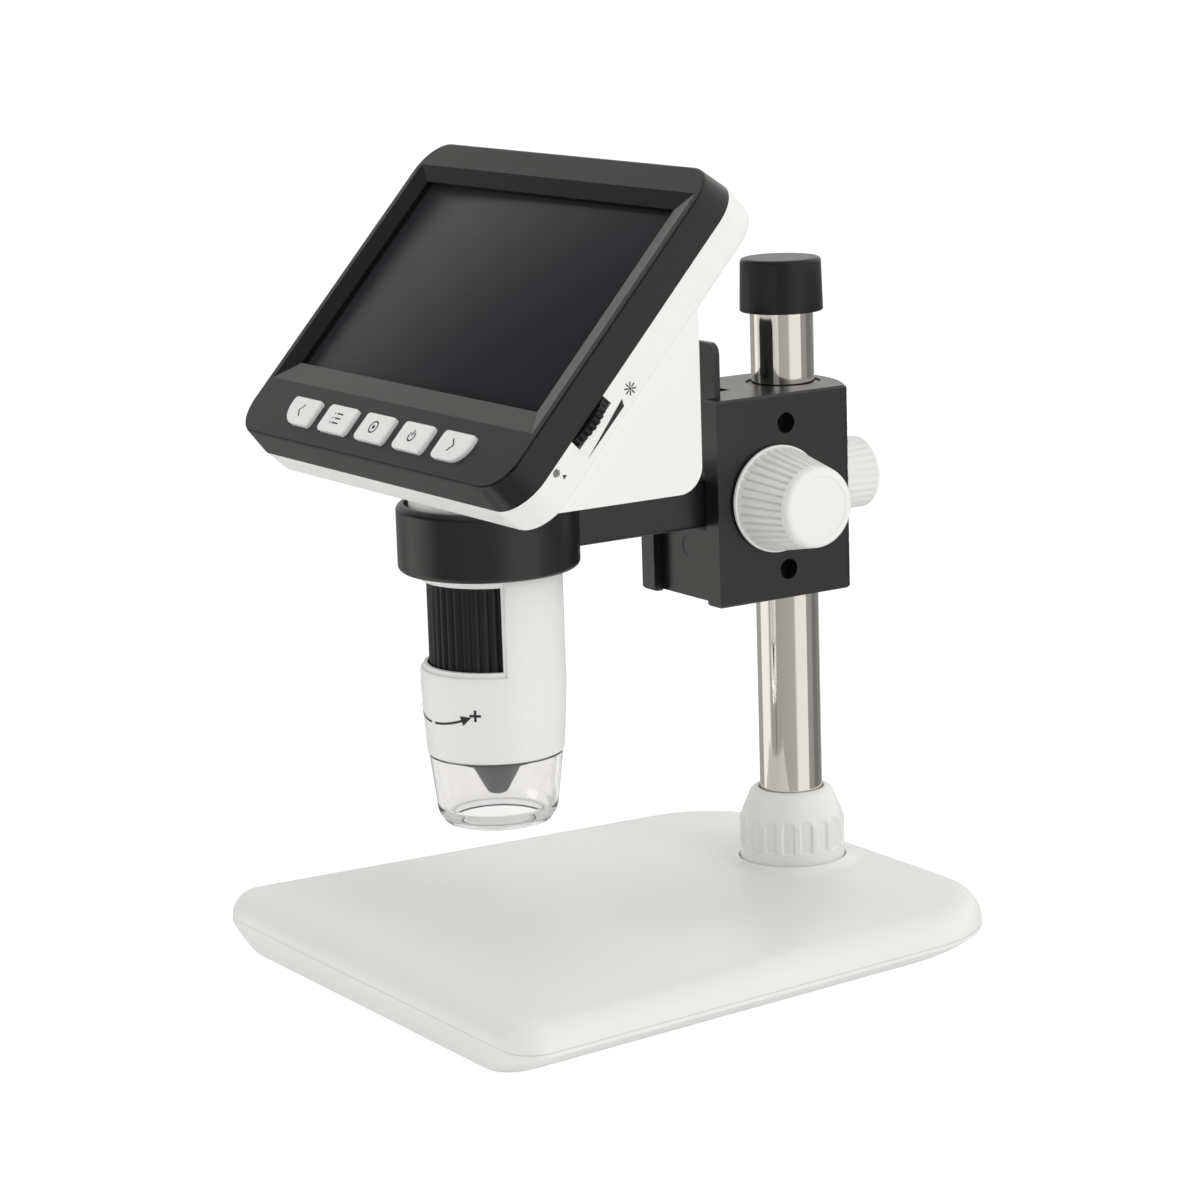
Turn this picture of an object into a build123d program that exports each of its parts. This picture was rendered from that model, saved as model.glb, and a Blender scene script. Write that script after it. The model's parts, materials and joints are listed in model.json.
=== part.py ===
from build123d import *
from math import atan2, cos, degrees, pi, radians, sin, sqrt, tan
import os

# Stand microscope with a tilted display head.
# Frame: origin on the table under the middle of the base, +Z up, the user stands on the -Y side.
# All sizes are in millimetres.

# ---- fits shared by every piece
RUN_GAP = 0.06          # radial clearance of a turning or sliding fit
SEAT_GAP = 0.03         # clearance of a seated or screwed joint
END_GAP = 0.2           # clearance at the end of a shaft, screw or ring
SCREW_SINK = 0.4        # depth by which a screw head lies under its surface
JOIN = 0.2              # depth by which two joined solids run into each other
CUT = 1.0               # length by which a cutting solid runs past what it cuts

# ---- base
BASE_DEPTH = 135.4
BASE_FRONT_WIDTH = 128.4
BASE_REAR_WIDTH = 110.0
BASE_FRONT_RADIUS = 6.8
BASE_REAR_RADIUS = 27.0
BASE_TOP_Z = 14.0
BASE_SEAM_Z = 7.8
BASE_EDGE_ROLL = 6.0
BASE_WALL = 2.2
BASE_FLOOR_Z = 1.6
BASE_SIDE_TAPER = 10.0
BASE_FRONT_TAPER = 1.2
BASE_REAR_TAPER = 5.0
BASE_TAPER_BELLY = 0.38     # share of each taper that is reached half-way up the lower shell
BASE_SEAM_BAND = 0.9
FOOT_RADIUS = 5.5
FOOT_RECESS = 0.6
FOOT_INSET = 22.0
BASE_SCREW_INSET = 30.0
BASE_SCREW_RADIUS = 1.7
BASE_SCREW_HEAD_RADIUS = 3.0
BASE_POST_RADIUS = 3.4

# ---- column, its collet and collar
COLUMN_SETBACK = 44.8
COLUMN_RADIUS = 7.0
COLUMN_WALL = 1.0
COLUMN_TOP_Z = 142.0
COLUMN_FOOT_Z = 4.8
COLLET_WALL = 2.4
COLLET_TOP_Z = 22.2
COLLET_SLOTS = 4
COLLET_SLOT_WIDTH = 1.4
COLLAR_RADIUS = 11.8
COLLAR_SHOULDER_Z = 23.2
COLLAR_TOP_Z = 31.6
COLLAR_TOP_RADIUS = 8.9
COLLAR_EDGE = 1.1
COLLAR_COLUMN_GAP = 0.3
COLLAR_SEAT_RADIUS = 12.6
COLLAR_SEAT_HEIGHT = 0.8
COLLAR_FLUTES = 18
COLLAR_FLUTE_WIDTH = 2.2
COLLAR_FLUTE_DEPTH = 0.45
COLLAR_FLUTE_MARGIN = 1.1
CAP_RADIUS = 9.2
CAP_OVERLAP = 2.7
CAP_HEIGHT = 11.7
CAP_EDGE = 1.3
CAP_LEAN = 0.3
CAP_PLUG_LENGTH = 9.0

# ---- rack block that rides on the column
BLOCK_HALF_WIDTH = 15.1
BLOCK_FRONT_REACH = 28.6
BLOCK_REAR_REACH = 13.8
BLOCK_BOTTOM_Z = 78.5
BLOCK_TOP_Z = 123.6
BLOCK_EDGE = 0.5
BUSH_WALL = 1.2
BUSH_SLIT = 1.6
LIP_THICKNESS = 2.2
LIP_GAP_HALF = 10.3
TENSION_HOLE_RADIUS = 2.25
TENSION_HOLE_DEPTH = 6.6
TENSION_HOLE_REACH = 10.3
TENSION_HOLE_INSET = 6.45
TENSION_SCREW_LENGTH = 3.0

# ---- rack and pinion
GEAR_MODULE = 0.7
PINION_TEETH = 10
PINION_REACH = 13.4
PINION_Z = 101.0
PINION_WIDTH = 6.0
RACK_WIDTH = 5.6
RACK_BOTTOM_Z = 86.0
RACK_TOP_Z = 121.6
RACK_ADDENDUM = 0.55        # in modules
RACK_DEDENDUM = 1.1         # in modules
PINION_DEDENDUM = 1.2       # in modules
FLANK_STEPS = 3
TOOTH_GAP = 0.10
RACK_SIDE_GAP = 0.15
RACK_TIP_ROOM = 0.3
PRESSURE_ANGLE = 20.0
SHAFT_RADIUS = 2.5
PINION_BUSH_RADIUS = 4.45
RACK_SCREW_RADIUS = 1.1
RACK_SCREW_INSET = 4.0
RACK_SCREW_BITE = 3.0

# ---- focus knobs and lock knob
KNOB_GAP = 0.5
KNOB_LENGTH = 15.6
KNOB_BASE_RADIUS = 11.7
KNOB_FACE_RADIUS = 8.6
KNOB_RIM = 0.9
KNOB_STEP = 0.35
KNOB_WALL = 2.0
KNOB_EDGE = 2.0
KNOB_FLUTES = 36
KNOB_FLUTE_LENGTH = 10.5
KNOB_FLUTE_WIDTH = 0.9
KNOB_FLUTE_DEPTH = 0.45
KNOB_FLUTE_START = 0.5
KNOB_DISH_RADIUS = 6.2
KNOB_DISH_WIDTH = 0.5
KNOB_DISH_DEPTH = 0.25
LOCK_KNOB_RADIUS = 8.0
LOCK_KNOB_LENGTH = 6.8
LOCK_KNOB_RIM = 0.8
LOCK_KNOB_EDGE = 1.0
LOCK_KNOB_FLUTES = 28
LOCK_KNOB_FLUTE_WIDTH = 0.7
LOCK_SCREW_RADIUS = 2.0
LOCK_INSERT_RADIUS = 3.6
LOCK_INSERT_LENGTH = 4.0
LOCK_INSERT_SINK = 0.1
LOCK_TIP_GAP = 0.3

# ---- bracket: slide plate, arm and ring
PLATE_HALF_WIDTH = 11.6
PLATE_THICKNESS = 1.4
PLATE_BOTTOM_Z = 78.8
PLATE_TOP_Z = 135.6
PLATE_CORNER = 2.5
ARM_HALF_WIDTH = 9.8
ARM_BOTTOM_Z = 95.7
ARM_TOP_Z = 106.0
ARM_EDGE = 0.8
ARM_ROOT_FILLET = 2.2
RING_RADIUS = 19.3
RING_BOTTOM_Z = 92.2
RING_TOP_Z = 106.6
RING_EDGE = 1.4
LINER_WALL = 0.9
LINER_FLOOR = 1.0
RING_LIP = 1.2
DROP_GAP = 0.35

# ---- optical barrel
AXIS_REACH = 77.25
NECK_RADIUS = 16.6
NECK_BOTTOM_Z = 94.6
NECK_SEAM_Z = 112.2
SPIGOT_HEIGHT = 4.6
SPIGOT_WALL = 1.15
BARREL_RADIUS = 15.6
BARREL_WALL = 1.7
BARREL_WAIST_Z = 68.0
BARREL_STEP = 0.3
BARREL_STEP_HEIGHT = 3.0
BARREL_MOUTH_RADIUS = 14.6
BARREL_MOUTH_Z = 52.8
WINDOW_BOTTOM_Z = 72.4
WINDOW_TOP_Z = 90.4
WINDOW_HALF_ANGLE = 67.0
WINDOW_STEP = 0.7
WINDOW_STEP_MARGIN = 2.1
FOCUS_RING_RADIUS = 13.55
FOCUS_RING_FLUTES = 48
FOCUS_RING_FLUTE = 0.62
FOCUS_RING_RIM = 1.2
FOCUS_RING_GAP = 0.35
FOCUS_RING_BELOW = 1.9
FOCUS_RING_ABOVE = 1.0
CARRIER_RADIUS = 11.2
CARRIER_TOP_Z = 84.0
CARRIER_BOTTOM_Z = 64.0
CARRIER_WALL = 1.6
CARRIER_GAP = 1.0
CARRIER_KEY_WIDTH = 2.0
CARRIER_KEY_DEPTH = 0.8
CARRIER_SLOT_FLOOR = 5.0
CARRIER_KEY_FLOOR = 8.0
NOSE_RADIUS = 8.5
NOSE_GAP = 0.4
NOSE_WALL = 2.0
NOSE_CONE_Z = 55.0
NOSE_SHOULDER_RADIUS = 5.6
NOSE_SHOULDER_Z = 49.6
NOSE_TIP_RADIUS = 1.7
NOSE_TIP_Z = 42.6
LENS_RADIUS = 7.0
LENS_THICKNESS = 2.6
LENS_BULGE = 0.5
LENS_LEDGE = 1.2
LENS_SINK = 1.0
GUIDE_STEP = 0.5
GUIDE_BORE_RADIUS = 5.85
GUIDE_FLANGE_HEIGHT = 1.8
LED_BOARD_Z = 56.4
LED_BOARD_THICKNESS = 1.0
LED_COUNT = 8
LED_SIZE = 1.6
LED_HEIGHT = 0.6
SENSOR_BOARD_THICKNESS = 1.2
SENSOR_SIZE = 6.5
SENSOR_THICKNESS = 0.8
SENSOR_BOARD_INSET = 1.0

# ---- clear contact cap
CONTACT_CAP_BOTTOM_Z = 37.6
CONTACT_CAP_WALL = 1.2
CONTACT_CAP_SPIGOT = 2.4
CONTACT_CAP_LOW_RADIUS = 13.15
CONTACT_CAP_LOW_Z = 41.0
CONTACT_CAP_FOOT_RADIUS = 11.9
CONTACT_CAP_HOLE_RADIUS = 9.7
CONTACT_CAP_FLOOR = 1.5
CONTACT_CAP_SHOULDER = 0.3
CONTACT_CAP_STOP = 0.1

# ---- display head; x across, v up the screen, w out of the screen
HEAD_TILT = 47.6
HEAD_REACH = 107.7
HEAD_Z = 119.0
HEAD_HALF_WIDTH = 54.9
HEAD_HEIGHT = 78.8
HEAD_CORNER = 8.0
HEAD_FLARE = 1.0
BEZEL_DEPTH = 6.7
BEZEL_WALL = 2.2
SHELL_DEPTH = 14.3
SHELL_WALL = 2.0
SHELL_EDGE = 1.6
SHELL_DRAFT = 0.2
WINDOW_HALF_WIDTH = 48.0
WINDOW_LOW_V = 19.2
WINDOW_HIGH_V = 69.0
WINDOW_DROP = 1.1
SLOPE_SIDE = 5.0
SLOPE_LOW = 5.3
SLOPE_HIGH = 3.6
GLASS_THICKNESS = 0.8
PANEL_HALF_WIDTH = 51.6
PANEL_LOW_V = 13.4
PANEL_HIGH_V = 73.0
PANEL_THICKNESS = 2.7
WEDGE_HALF_WIDTH = 54.4
WEDGE_BOTTOM_Z = 113.2
WEDGE_REAR_REACH = 59.6
WEDGE_CORNER = 5.5
BOARD_THICKNESS = 1.4
BOARD_HALF_WIDTH = 51.8
BOARD_LOW_V = 14.0
BOARD_DEPTH = 9.6
PROCESSOR_SIZE = 14.0
MEMORY_WIDTH = 10.0
MEMORY_HEIGHT = 8.0
RIBBON_WIDTH = 20.0
RIBBON_HEIGHT = 3.0
CHIP_THICKNESS = 1.2
STAND_PITCH = 40.0
STAND_INSET = 5.0
HEAD_BOSS_RADIUS = 2.1
HEAD_SCREW_X = 50.5
HEAD_SCREW_LOW_V = 3.4
HEAD_SCREW_HIGH_V = 75.4
HEAD_SCREW_RADIUS = 1.0

# ---- keys
KEY_PITCH = 15.6
KEY_V = 7.15
KEY_WIDTH = 11.4
KEY_HEIGHT = 6.6
KEY_PROUD = 1.1
KEY_GAP = 0.2
KEY_TRAVEL = 0.5
KEY_CORNER = 1.1
KEY_ROUND_CORNER = 4.6
KEY_EDGE = 0.55
KEY_FLANGE = 0.8
KEY_FLANGE_THICKNESS = 0.8
KEY_FLANGE_GAP = 0.1
KEY_NAMES = ("previous", "menu", "confirm", "power", "next")
KEY_BOARD_DEPTH = 8.0
KEY_BOARD_HALF_WIDTH = 46.0
KEY_POST_RADIUS = 1.0
KEY_BOARD_LOW_V = 2.6
KEY_BOARD_HIGH_V = 12.2
SWITCH_SIZE = 4.5
SWITCH_BODY = 2.6
SWITCH_PLUNGER = 0.6
SWITCH_PLUNGER_RADIUS = 0.9
KEY_STEM_RADIUS = 1.4

# ---- brightness wheel and reset key on the right side
WHEEL_V = 22.7
WHEEL_RADIUS = 9.0
WHEEL_PROUD = 1.5
WHEEL_THICKNESS = 1.8
WHEEL_TEETH = 40
WHEEL_NOTCH = 0.7
WHEEL_GAP = 0.35
WHEEL_SEAM_GAP = 0.25
WHEEL_PIN_RADIUS = 1.4
POT_RADIUS = 4.2
RESET_V = 10.4
RESET_RADIUS = 0.8
RESET_FLANGE_RADIUS = 1.0
RESET_FLANGE_LENGTH = 0.8
RESET_SWITCH_LENGTH = 4.0
RESET_SWITCH_HALF = 1.8
RESET_GAP = 0.15
RESET_TRAVEL = 0.4
RESET_SINK = 1.0

# ---- battery and ports
CELL_RADIUS = 7.1
CELL_LENGTH = 50.0
CELL_BUTTON = 0.8
CELL_BUTTON_RADIUS = 2.8
CELL_COVER_GAP = 0.4
CELL_BOARD_GAP = 0.3
CONTACT_GAP = 0.1
CONTACT_THICKNESS = 0.55
CONTACT_WIDTH = 7.0
COVER_HALF_WIDTH = 31.0
COVER_MARGIN = 4.2
COVER_THICKNESS = 1.6
COVER_GAP = 0.1
COVER_EDGE = 0.3
COVER_GRIPS = 4
COVER_GRIP_PITCH = 1.6
COVER_GRIP_WIDTH = 0.8
COVER_GRIP_DEPTH = 0.5
COVER_GRIP_HALF_LENGTH = 8.0
COVER_GRIP_INSET = 3.0
COVER_SCREW_RADIUS = 0.9
COVER_SCREW_LENGTH = 4.3
COVER_SCREW_HEAD = 0.75
COVER_SCREW_INSET = 2.2
COVER_BOSS_HALF = 4.0
COVER_BOSS_HEIGHT = 5.5
COVER_BOSS_DEPTH = 5.0
RIB_THICKNESS = 2.0
RIB_X = 14.0
USB_V = 30.0
USB_WIDTH = 7.6
USB_HEIGHT = 2.6
USB_DEPTH = 5.6
USB_TONGUE = 0.6
USB_TONGUE_SINK = 1.2
CARD_V = 50.0
CARD_WIDTH = 14.2
CARD_HEIGHT = 1.9
CARD_DEPTH = 15.0
PORT_SINK = 0.5
PORT_WALL = 0.4

UP = (Align.CENTER, Align.CENTER, Align.MIN)
HALF_TURN = 180
parts = {}


# ---- shape helpers
def disc(radius, low, high, x=0.0, y=0.0):
    return Pos(x, y, low) * Cylinder(radius, high - low, align=UP)


def tube(outer, inner, low, high, x=0.0, y=0.0):
    return disc(outer, low, high, x, y) - disc(inner, low - CUT, high + CUT, x, y)


def box(x0, x1, y0, y1, z0, z1):
    middle = Pos((x0 + x1) / 2, (y0 + y1) / 2, (z0 + z1) / 2)
    return middle * Box(x1 - x0, y1 - y0, z1 - z0)


def turned(*profile):
    """Solid of revolution about Z from (radius, height) points."""
    return revolve(Plane.XZ * make_face(Polyline(*profile, close=True)), Axis.Z)


def prism(plan, low, high):
    return extrude(Pos(0, 0, low) * plan, amount=high - low)


def ring_of(piece, count, start=0.0):
    return [Rot(0, 0, start + 360 * i / count) * piece for i in range(count)]


column_y = COLUMN_SETBACK
axis_y = column_y - AXIS_REACH
at_column = Pos(0, column_y, 0)
at_axis = Pos(0, axis_y, 0)

# ---- base: two moulded shells with the collet moulded on the upper one
def base_outline(front, side, rear):
    """Plan of the base, drawn in by the given amounts at its front, sides and rear."""
    front_x = BASE_FRONT_WIDTH / 2 - side
    rear_x = BASE_REAR_WIDTH / 2 - side
    front_y = front - BASE_DEPTH / 2
    rear_y = BASE_DEPTH / 2 - rear
    corners = [(-front_x, front_y), (front_x, front_y), (rear_x, rear_y), (-rear_x, rear_y)]
    outline = make_face(Polyline(*corners, close=True))
    by_depth = outline.vertices().sort_by(Axis.Y)
    inset = min(front, side, rear)
    outline = fillet(by_depth[:2], BASE_FRONT_RADIUS - inset)
    back = outline.vertices().sort_by(Axis.Y)[-2:]
    return fillet(back, BASE_REAR_RADIUS - inset)


def base_ring(inset):
    return base_outline(inset, inset, inset)


def base_cup(wall):
    """Lower half of the base, tapering in from the seam to the floor."""
    share = (BASE_SEAM_Z - BASE_FLOOR_Z - BASE_SEAM_BAND) / 2
    heights = (BASE_FLOOR_Z + wall, BASE_FLOOR_Z + wall + share, BASE_SEAM_Z - BASE_SEAM_BAND)
    sections = []
    for height, taper in zip(heights, (1, BASE_TAPER_BELLY, 0)):
        insets = (BASE_FRONT_TAPER, BASE_SIDE_TAPER, BASE_REAR_TAPER)
        plan = base_outline(*(wall + taper * inset for inset in insets))
        sections.append(Pos(0, 0, height) * plan)
    cup = loft(sections)
    return cup + prism(base_ring(wall), heights[-1], BASE_SEAM_Z)


def base_dome(wall):
    """Upper half of the base, with its rolled top edge."""
    roll = BASE_EDGE_ROLL - wall
    dome = prism(base_ring(wall), BASE_SEAM_Z, BASE_TOP_Z - wall)
    return fillet(dome.faces().sort_by(Axis.Z)[-1].edges(), roll)


def near_corners(inset):
    front_x = BASE_FRONT_WIDTH / 2 - inset
    rear_x = BASE_REAR_WIDTH / 2 - inset
    reach_y = BASE_DEPTH / 2 - inset
    return [(-front_x, -reach_y), (front_x, -reach_y), (-rear_x, reach_y), (rear_x, reach_y)]


screw_spots = near_corners(BASE_SCREW_INSET)
foot_spots = near_corners(FOOT_INSET)
floor_top_z = BASE_FLOOR_Z + BASE_WALL
collet_bore = COLUMN_RADIUS + SEAT_GAP
collet_radius = COLUMN_RADIUS + COLLET_WALL
collar_seat_z = BASE_TOP_Z + COLLAR_SEAT_HEIGHT
base_screw_ledge_z = BASE_FLOOR_Z + BASE_WALL / 2
base_pilot_top_z = BASE_TOP_Z - 2 * BASE_WALL


def collet():
    """Slotted fingers that grip the column, tapered at the tip."""
    tip = collet_radius - COLLET_WALL / 2
    taper_z = COLLET_TOP_Z - COLLET_WALL
    grip = turned((0, floor_top_z), (collet_radius, floor_top_z), (collet_radius, taper_z),
                  (tip, COLLET_TOP_Z), (0, COLLET_TOP_Z))
    slot = box(-COLLET_SLOT_WIDTH / 2, COLLET_SLOT_WIDTH / 2, 0, 2 * collet_radius,
               collar_seat_z + COLLET_WALL / 4, COLLET_TOP_Z + CUT)
    return at_column * (grip - ring_of(slot, COLLET_SLOTS, 45))


def base_top_shell():
    shell = base_dome(0) - base_dome(BASE_WALL)
    posts = [disc(BASE_POST_RADIUS, floor_top_z + SEAT_GAP, BASE_TOP_Z - BASE_WALL / 2, x, y)
             for x, y in screw_spots]
    shell += posts
    shell += disc(COLLAR_SEAT_RADIUS, BASE_TOP_Z - BASE_WALL / 2, collar_seat_z, 0, column_y)
    shell += collet()
    shell -= disc(collet_bore, COLUMN_FOOT_Z, COLLET_TOP_Z + CUT, 0, column_y)
    pilots = [disc(BASE_SCREW_RADIUS, 0, base_pilot_top_z, x, y) for x, y in screw_spots]
    return shell - pilots


def base_bottom_shell():
    shell = base_cup(0) - base_cup(BASE_WALL)
    shell -= prism(base_ring(BASE_WALL), BASE_SEAM_Z - BASE_SEAM_BAND, BASE_SEAM_Z + CUT)
    for x, y in screw_spots:
        shell -= disc(BASE_SCREW_RADIUS + RUN_GAP, 0, BASE_SEAM_Z, x, y)
        shell -= disc(BASE_SCREW_HEAD_RADIUS + SEAT_GAP, 0, base_screw_ledge_z, x, y)
    for x, y in foot_spots:
        shell -= disc(FOOT_RADIUS + SEAT_GAP, 0, BASE_FLOOR_Z + FOOT_RECESS, x, y)
    return shell


def base_screws():
    screws = []
    for x, y in screw_spots:
        shank = disc(BASE_SCREW_RADIUS - SEAT_GAP, base_screw_ledge_z, base_pilot_top_z - END_GAP, x, y)
        head = disc(BASE_SCREW_HEAD_RADIUS, BASE_FLOOR_Z + SCREW_SINK / 2, base_screw_ledge_z, x, y)
        screws.append(shank + head)
    return screws


parts["base_top_shell"] = base_top_shell()
parts["base_bottom_shell"] = base_bottom_shell()
parts["rubber_feet"] = [disc(FOOT_RADIUS, 0, BASE_FLOOR_Z + FOOT_RECESS, x, y) for x, y in foot_spots]
parts["base_screws"] = base_screws()


# ---- column
cap_bottom_z = COLUMN_TOP_Z - CAP_OVERLAP
cap_top_z = cap_bottom_z + CAP_HEIGHT


def column_cap():
    crown = turned((0, COLUMN_TOP_Z + SEAT_GAP), (collet_bore, COLUMN_TOP_Z + SEAT_GAP),
                   (collet_bore, cap_bottom_z), (CAP_RADIUS, cap_bottom_z),
                   (CAP_RADIUS - CAP_LEAN, cap_top_z), (0, cap_top_z))
    crown = fillet(crown.edges().filter_by(GeomType.CIRCLE).sort_by(Axis.Z)[-1], CAP_EDGE)
    plug_radius = COLUMN_RADIUS - COLUMN_WALL - SEAT_GAP
    plug = disc(plug_radius, COLUMN_TOP_Z - CAP_PLUG_LENGTH, COLUMN_TOP_Z + CUT)
    return at_column * (crown + plug)


def collar_nut():
    """Fluted clamp nut whose inner cone closes the collet on the column."""
    nut = turned((0, collar_seat_z + RUN_GAP), (COLLAR_RADIUS, collar_seat_z + RUN_GAP),
                 (COLLAR_RADIUS, COLLAR_SHOULDER_Z), (COLLAR_TOP_RADIUS, COLLAR_TOP_Z),
                 (0, COLLAR_TOP_Z))
    round_edges = nut.edges().filter_by(GeomType.CIRCLE).sort_by(Axis.Z)
    nut = fillet(round_edges[-1], COLLAR_EDGE)
    thread_radius = collet_radius + RUN_GAP
    cone_radius = thread_radius - COLLET_WALL / 2
    cone_z = COLLET_TOP_Z - COLLET_WALL
    column_hole = COLUMN_RADIUS + COLLAR_COLUMN_GAP
    hollow = turned((0, 0), (thread_radius, 0), (thread_radius, cone_z + RUN_GAP),
                    (cone_radius, COLLET_TOP_Z + RUN_GAP), (cone_radius, COLLET_TOP_Z + COLLET_WALL / 2),
                    (column_hole, COLLET_TOP_Z + COLLET_WALL / 2),
                    (column_hole, COLLAR_TOP_Z + CUT), (0, COLLAR_TOP_Z + CUT))
    half = COLLAR_FLUTE_WIDTH / 2
    flute = box(-half, half, COLLAR_RADIUS - COLLAR_FLUTE_DEPTH, COLLAR_RADIUS + CUT,
                collar_seat_z + COLLAR_FLUTE_MARGIN, COLLAR_SHOULDER_Z - COLLAR_FLUTE_MARGIN)
    return at_column * (nut - hollow - ring_of(flute, COLLAR_FLUTES))


parts["column_tube"] = tube(COLUMN_RADIUS, COLUMN_RADIUS - COLUMN_WALL, COLUMN_FOOT_Z + SEAT_GAP,
                            COLUMN_TOP_Z, 0, column_y)
parts["column_cap"] = column_cap()
parts["collar_nut"] = collar_nut()


# ---- carriage on the column: bush, block and its fittings
bush_bore = COLUMN_RADIUS + RUN_GAP
bush_radius = bush_bore + BUSH_WALL
block_bore = bush_radius + RUN_GAP
plate_rear = BLOCK_FRONT_REACH - LIP_THICKNESS - RUN_GAP - PLATE_THICKNESS
rack_pitch_reach = PINION_REACH + GEAR_MODULE * PINION_TEETH / 2
rack_tip_reach = rack_pitch_reach - RACK_ADDENDUM * GEAR_MODULE
pinion_bore = PINION_BUSH_RADIUS + SEAT_GAP
groove_half = RACK_WIDTH / 2 + RACK_SIDE_GAP
tension_hole_heights = (BLOCK_BOTTOM_Z + TENSION_HOLE_INSET, BLOCK_TOP_Z - TENSION_HOLE_INSET)


def reach(distance):
    """World y of a point at the given distance in front of the column's axis."""
    return column_y - distance


def span_box(x0, x1, far, near, z0, z1):
    return box(x0, x1, reach(far), reach(near), z0, z1)


def across(radius, x0, x1, distance, z):
    """Cylinder along X."""
    return Pos(x0, reach(distance), z) * Rot(0, 90, 0) * Cylinder(radius, x1 - x0, align=UP)


def rearward(radius, near, far, z, x=0.0):
    """Cylinder along +Y from one distance behind the column's axis to another."""
    return Pos(x, column_y + near, z) * Rot(-90, 0, 0) * Cylinder(radius, far - near, align=UP)


def rack_block():
    w = BLOCK_HALF_WIDTH
    sides = Polyline((w, 0), (w, -BLOCK_FRONT_REACH), (-w, -BLOCK_FRONT_REACH), (-w, 0))
    back = EllipticalCenterArc((0, 0), w, BLOCK_REAR_REACH, start_angle=0, arc_size=HALF_TURN)
    block = at_column * prism(make_face([sides, back]), BLOCK_BOTTOM_Z, BLOCK_TOP_Z)
    low = BLOCK_BOTTOM_Z - CUT
    high = BLOCK_TOP_Z + CUT
    block = chamfer(block.faces().sort_by(Axis.Z)[-1].edges(), BLOCK_EDGE)
    block = chamfer(block.faces().sort_by(Axis.Z)[0].edges(), BLOCK_EDGE)
    block -= disc(block_bore, low, high, 0, column_y)
    block -= span_box(-LIP_GAP_HALF, LIP_GAP_HALF, BLOCK_FRONT_REACH + CUT, plate_rear, low, high)
    pocket = PLATE_HALF_WIDTH + RUN_GAP
    block -= span_box(-pocket, pocket, BLOCK_FRONT_REACH - LIP_THICKNESS, plate_rear - RUN_GAP, low, high)
    block -= span_box(-groove_half, groove_half, plate_rear + JOIN, rack_tip_reach - RACK_TIP_ROOM, low, high)
    block -= across(pinion_bore, -w - CUT, w + CUT, PINION_REACH, PINION_Z)
    block -= rearward(LOCK_INSERT_RADIUS + SEAT_GAP, block_bore - CUT, BLOCK_REAR_REACH + CUT, PINION_Z)
    for side in (-1, 1):
        inner, outer = sorted((side * (w - TENSION_HOLE_DEPTH), side * (w + CUT)))
        for height in tension_hole_heights:
            block -= across(TENSION_HOLE_RADIUS, inner, outer, TENSION_HOLE_REACH, height)
    return block


def side_screws():
    screws = []
    start = BLOCK_HALF_WIDTH - TENSION_HOLE_DEPTH
    socket = RegularPolygon(TENSION_HOLE_RADIUS / 2, 6)
    for side in (-1, 1):
        inner, outer = sorted((side * start, side * (start + TENSION_SCREW_LENGTH)))
        for height in tension_hole_heights:
            screw = across(TENSION_HOLE_RADIUS - SEAT_GAP, inner, outer, TENSION_HOLE_REACH, height)
            mouth = Plane(origin=(side * (start + TENSION_SCREW_LENGTH), reach(TENSION_HOLE_REACH), height),
                          z_dir=(-side, 0, 0))
            screws.append(screw - extrude(mouth * socket, amount=TENSION_SCREW_LENGTH / 2))
    return screws


def column_bush():
    sleeve = tube(bush_radius, bush_bore, BLOCK_BOTTOM_Z + BLOCK_EDGE, BLOCK_TOP_Z - BLOCK_EDGE)
    slit = box(0, bush_radius + CUT, -BUSH_SLIT / 2, BUSH_SLIT / 2, 0, BLOCK_TOP_Z)
    return at_column * (sleeve - slit)


def pinion_bushes():
    bushes = []
    for side in (-1, 1):
        inner, outer = sorted((side * (PINION_WIDTH / 2 + END_GAP), side * BLOCK_HALF_WIDTH))
        bush = across(PINION_BUSH_RADIUS, inner, outer, PINION_REACH, PINION_Z)
        bushes.append(bush - across(SHAFT_RADIUS + RUN_GAP, inner - CUT, outer + CUT, PINION_REACH, PINION_Z))
    return bushes


def lock_insert():
    start = BLOCK_REAR_REACH - LOCK_INSERT_LENGTH
    body = rearward(LOCK_INSERT_RADIUS, start, BLOCK_REAR_REACH - LOCK_INSERT_SINK, PINION_Z)
    return body - rearward(LOCK_SCREW_RADIUS + RUN_GAP, start - CUT, BLOCK_REAR_REACH + CUT, PINION_Z)


def lock_knob():
    low = BLOCK_REAR_REACH + LOCK_TIP_GAP
    knob = rearward(LOCK_KNOB_RADIUS, low, low + LOCK_KNOB_LENGTH, PINION_Z)
    rim = knob.edges().filter_by(GeomType.CIRCLE).sort_by(Axis.Y)
    knob = fillet(rim[-1], LOCK_KNOB_EDGE)
    flute = Pos(LOCK_KNOB_RADIUS, column_y + low + LOCK_KNOB_RIM, PINION_Z) * Rot(-90, 0, 0)
    flute = flute * Box(2 * KNOB_FLUTE_DEPTH, LOCK_KNOB_FLUTE_WIDTH, LOCK_KNOB_LENGTH, align=UP)
    pivot = Location((0, 0, PINION_Z))
    flutes = [pivot * Rot(0, 360 * i / LOCK_KNOB_FLUTES, 0) * pivot.inverse() * flute
              for i in range(LOCK_KNOB_FLUTES)]
    socket = rearward(LOCK_SCREW_RADIUS + SEAT_GAP, low - CUT, low + LOCK_KNOB_LENGTH / 2, PINION_Z)
    return knob - flutes - socket


def lock_screw():
    end = BLOCK_REAR_REACH + LOCK_TIP_GAP + LOCK_KNOB_LENGTH / 2
    return rearward(LOCK_SCREW_RADIUS, bush_radius + LOCK_TIP_GAP, end, PINION_Z)


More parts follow.
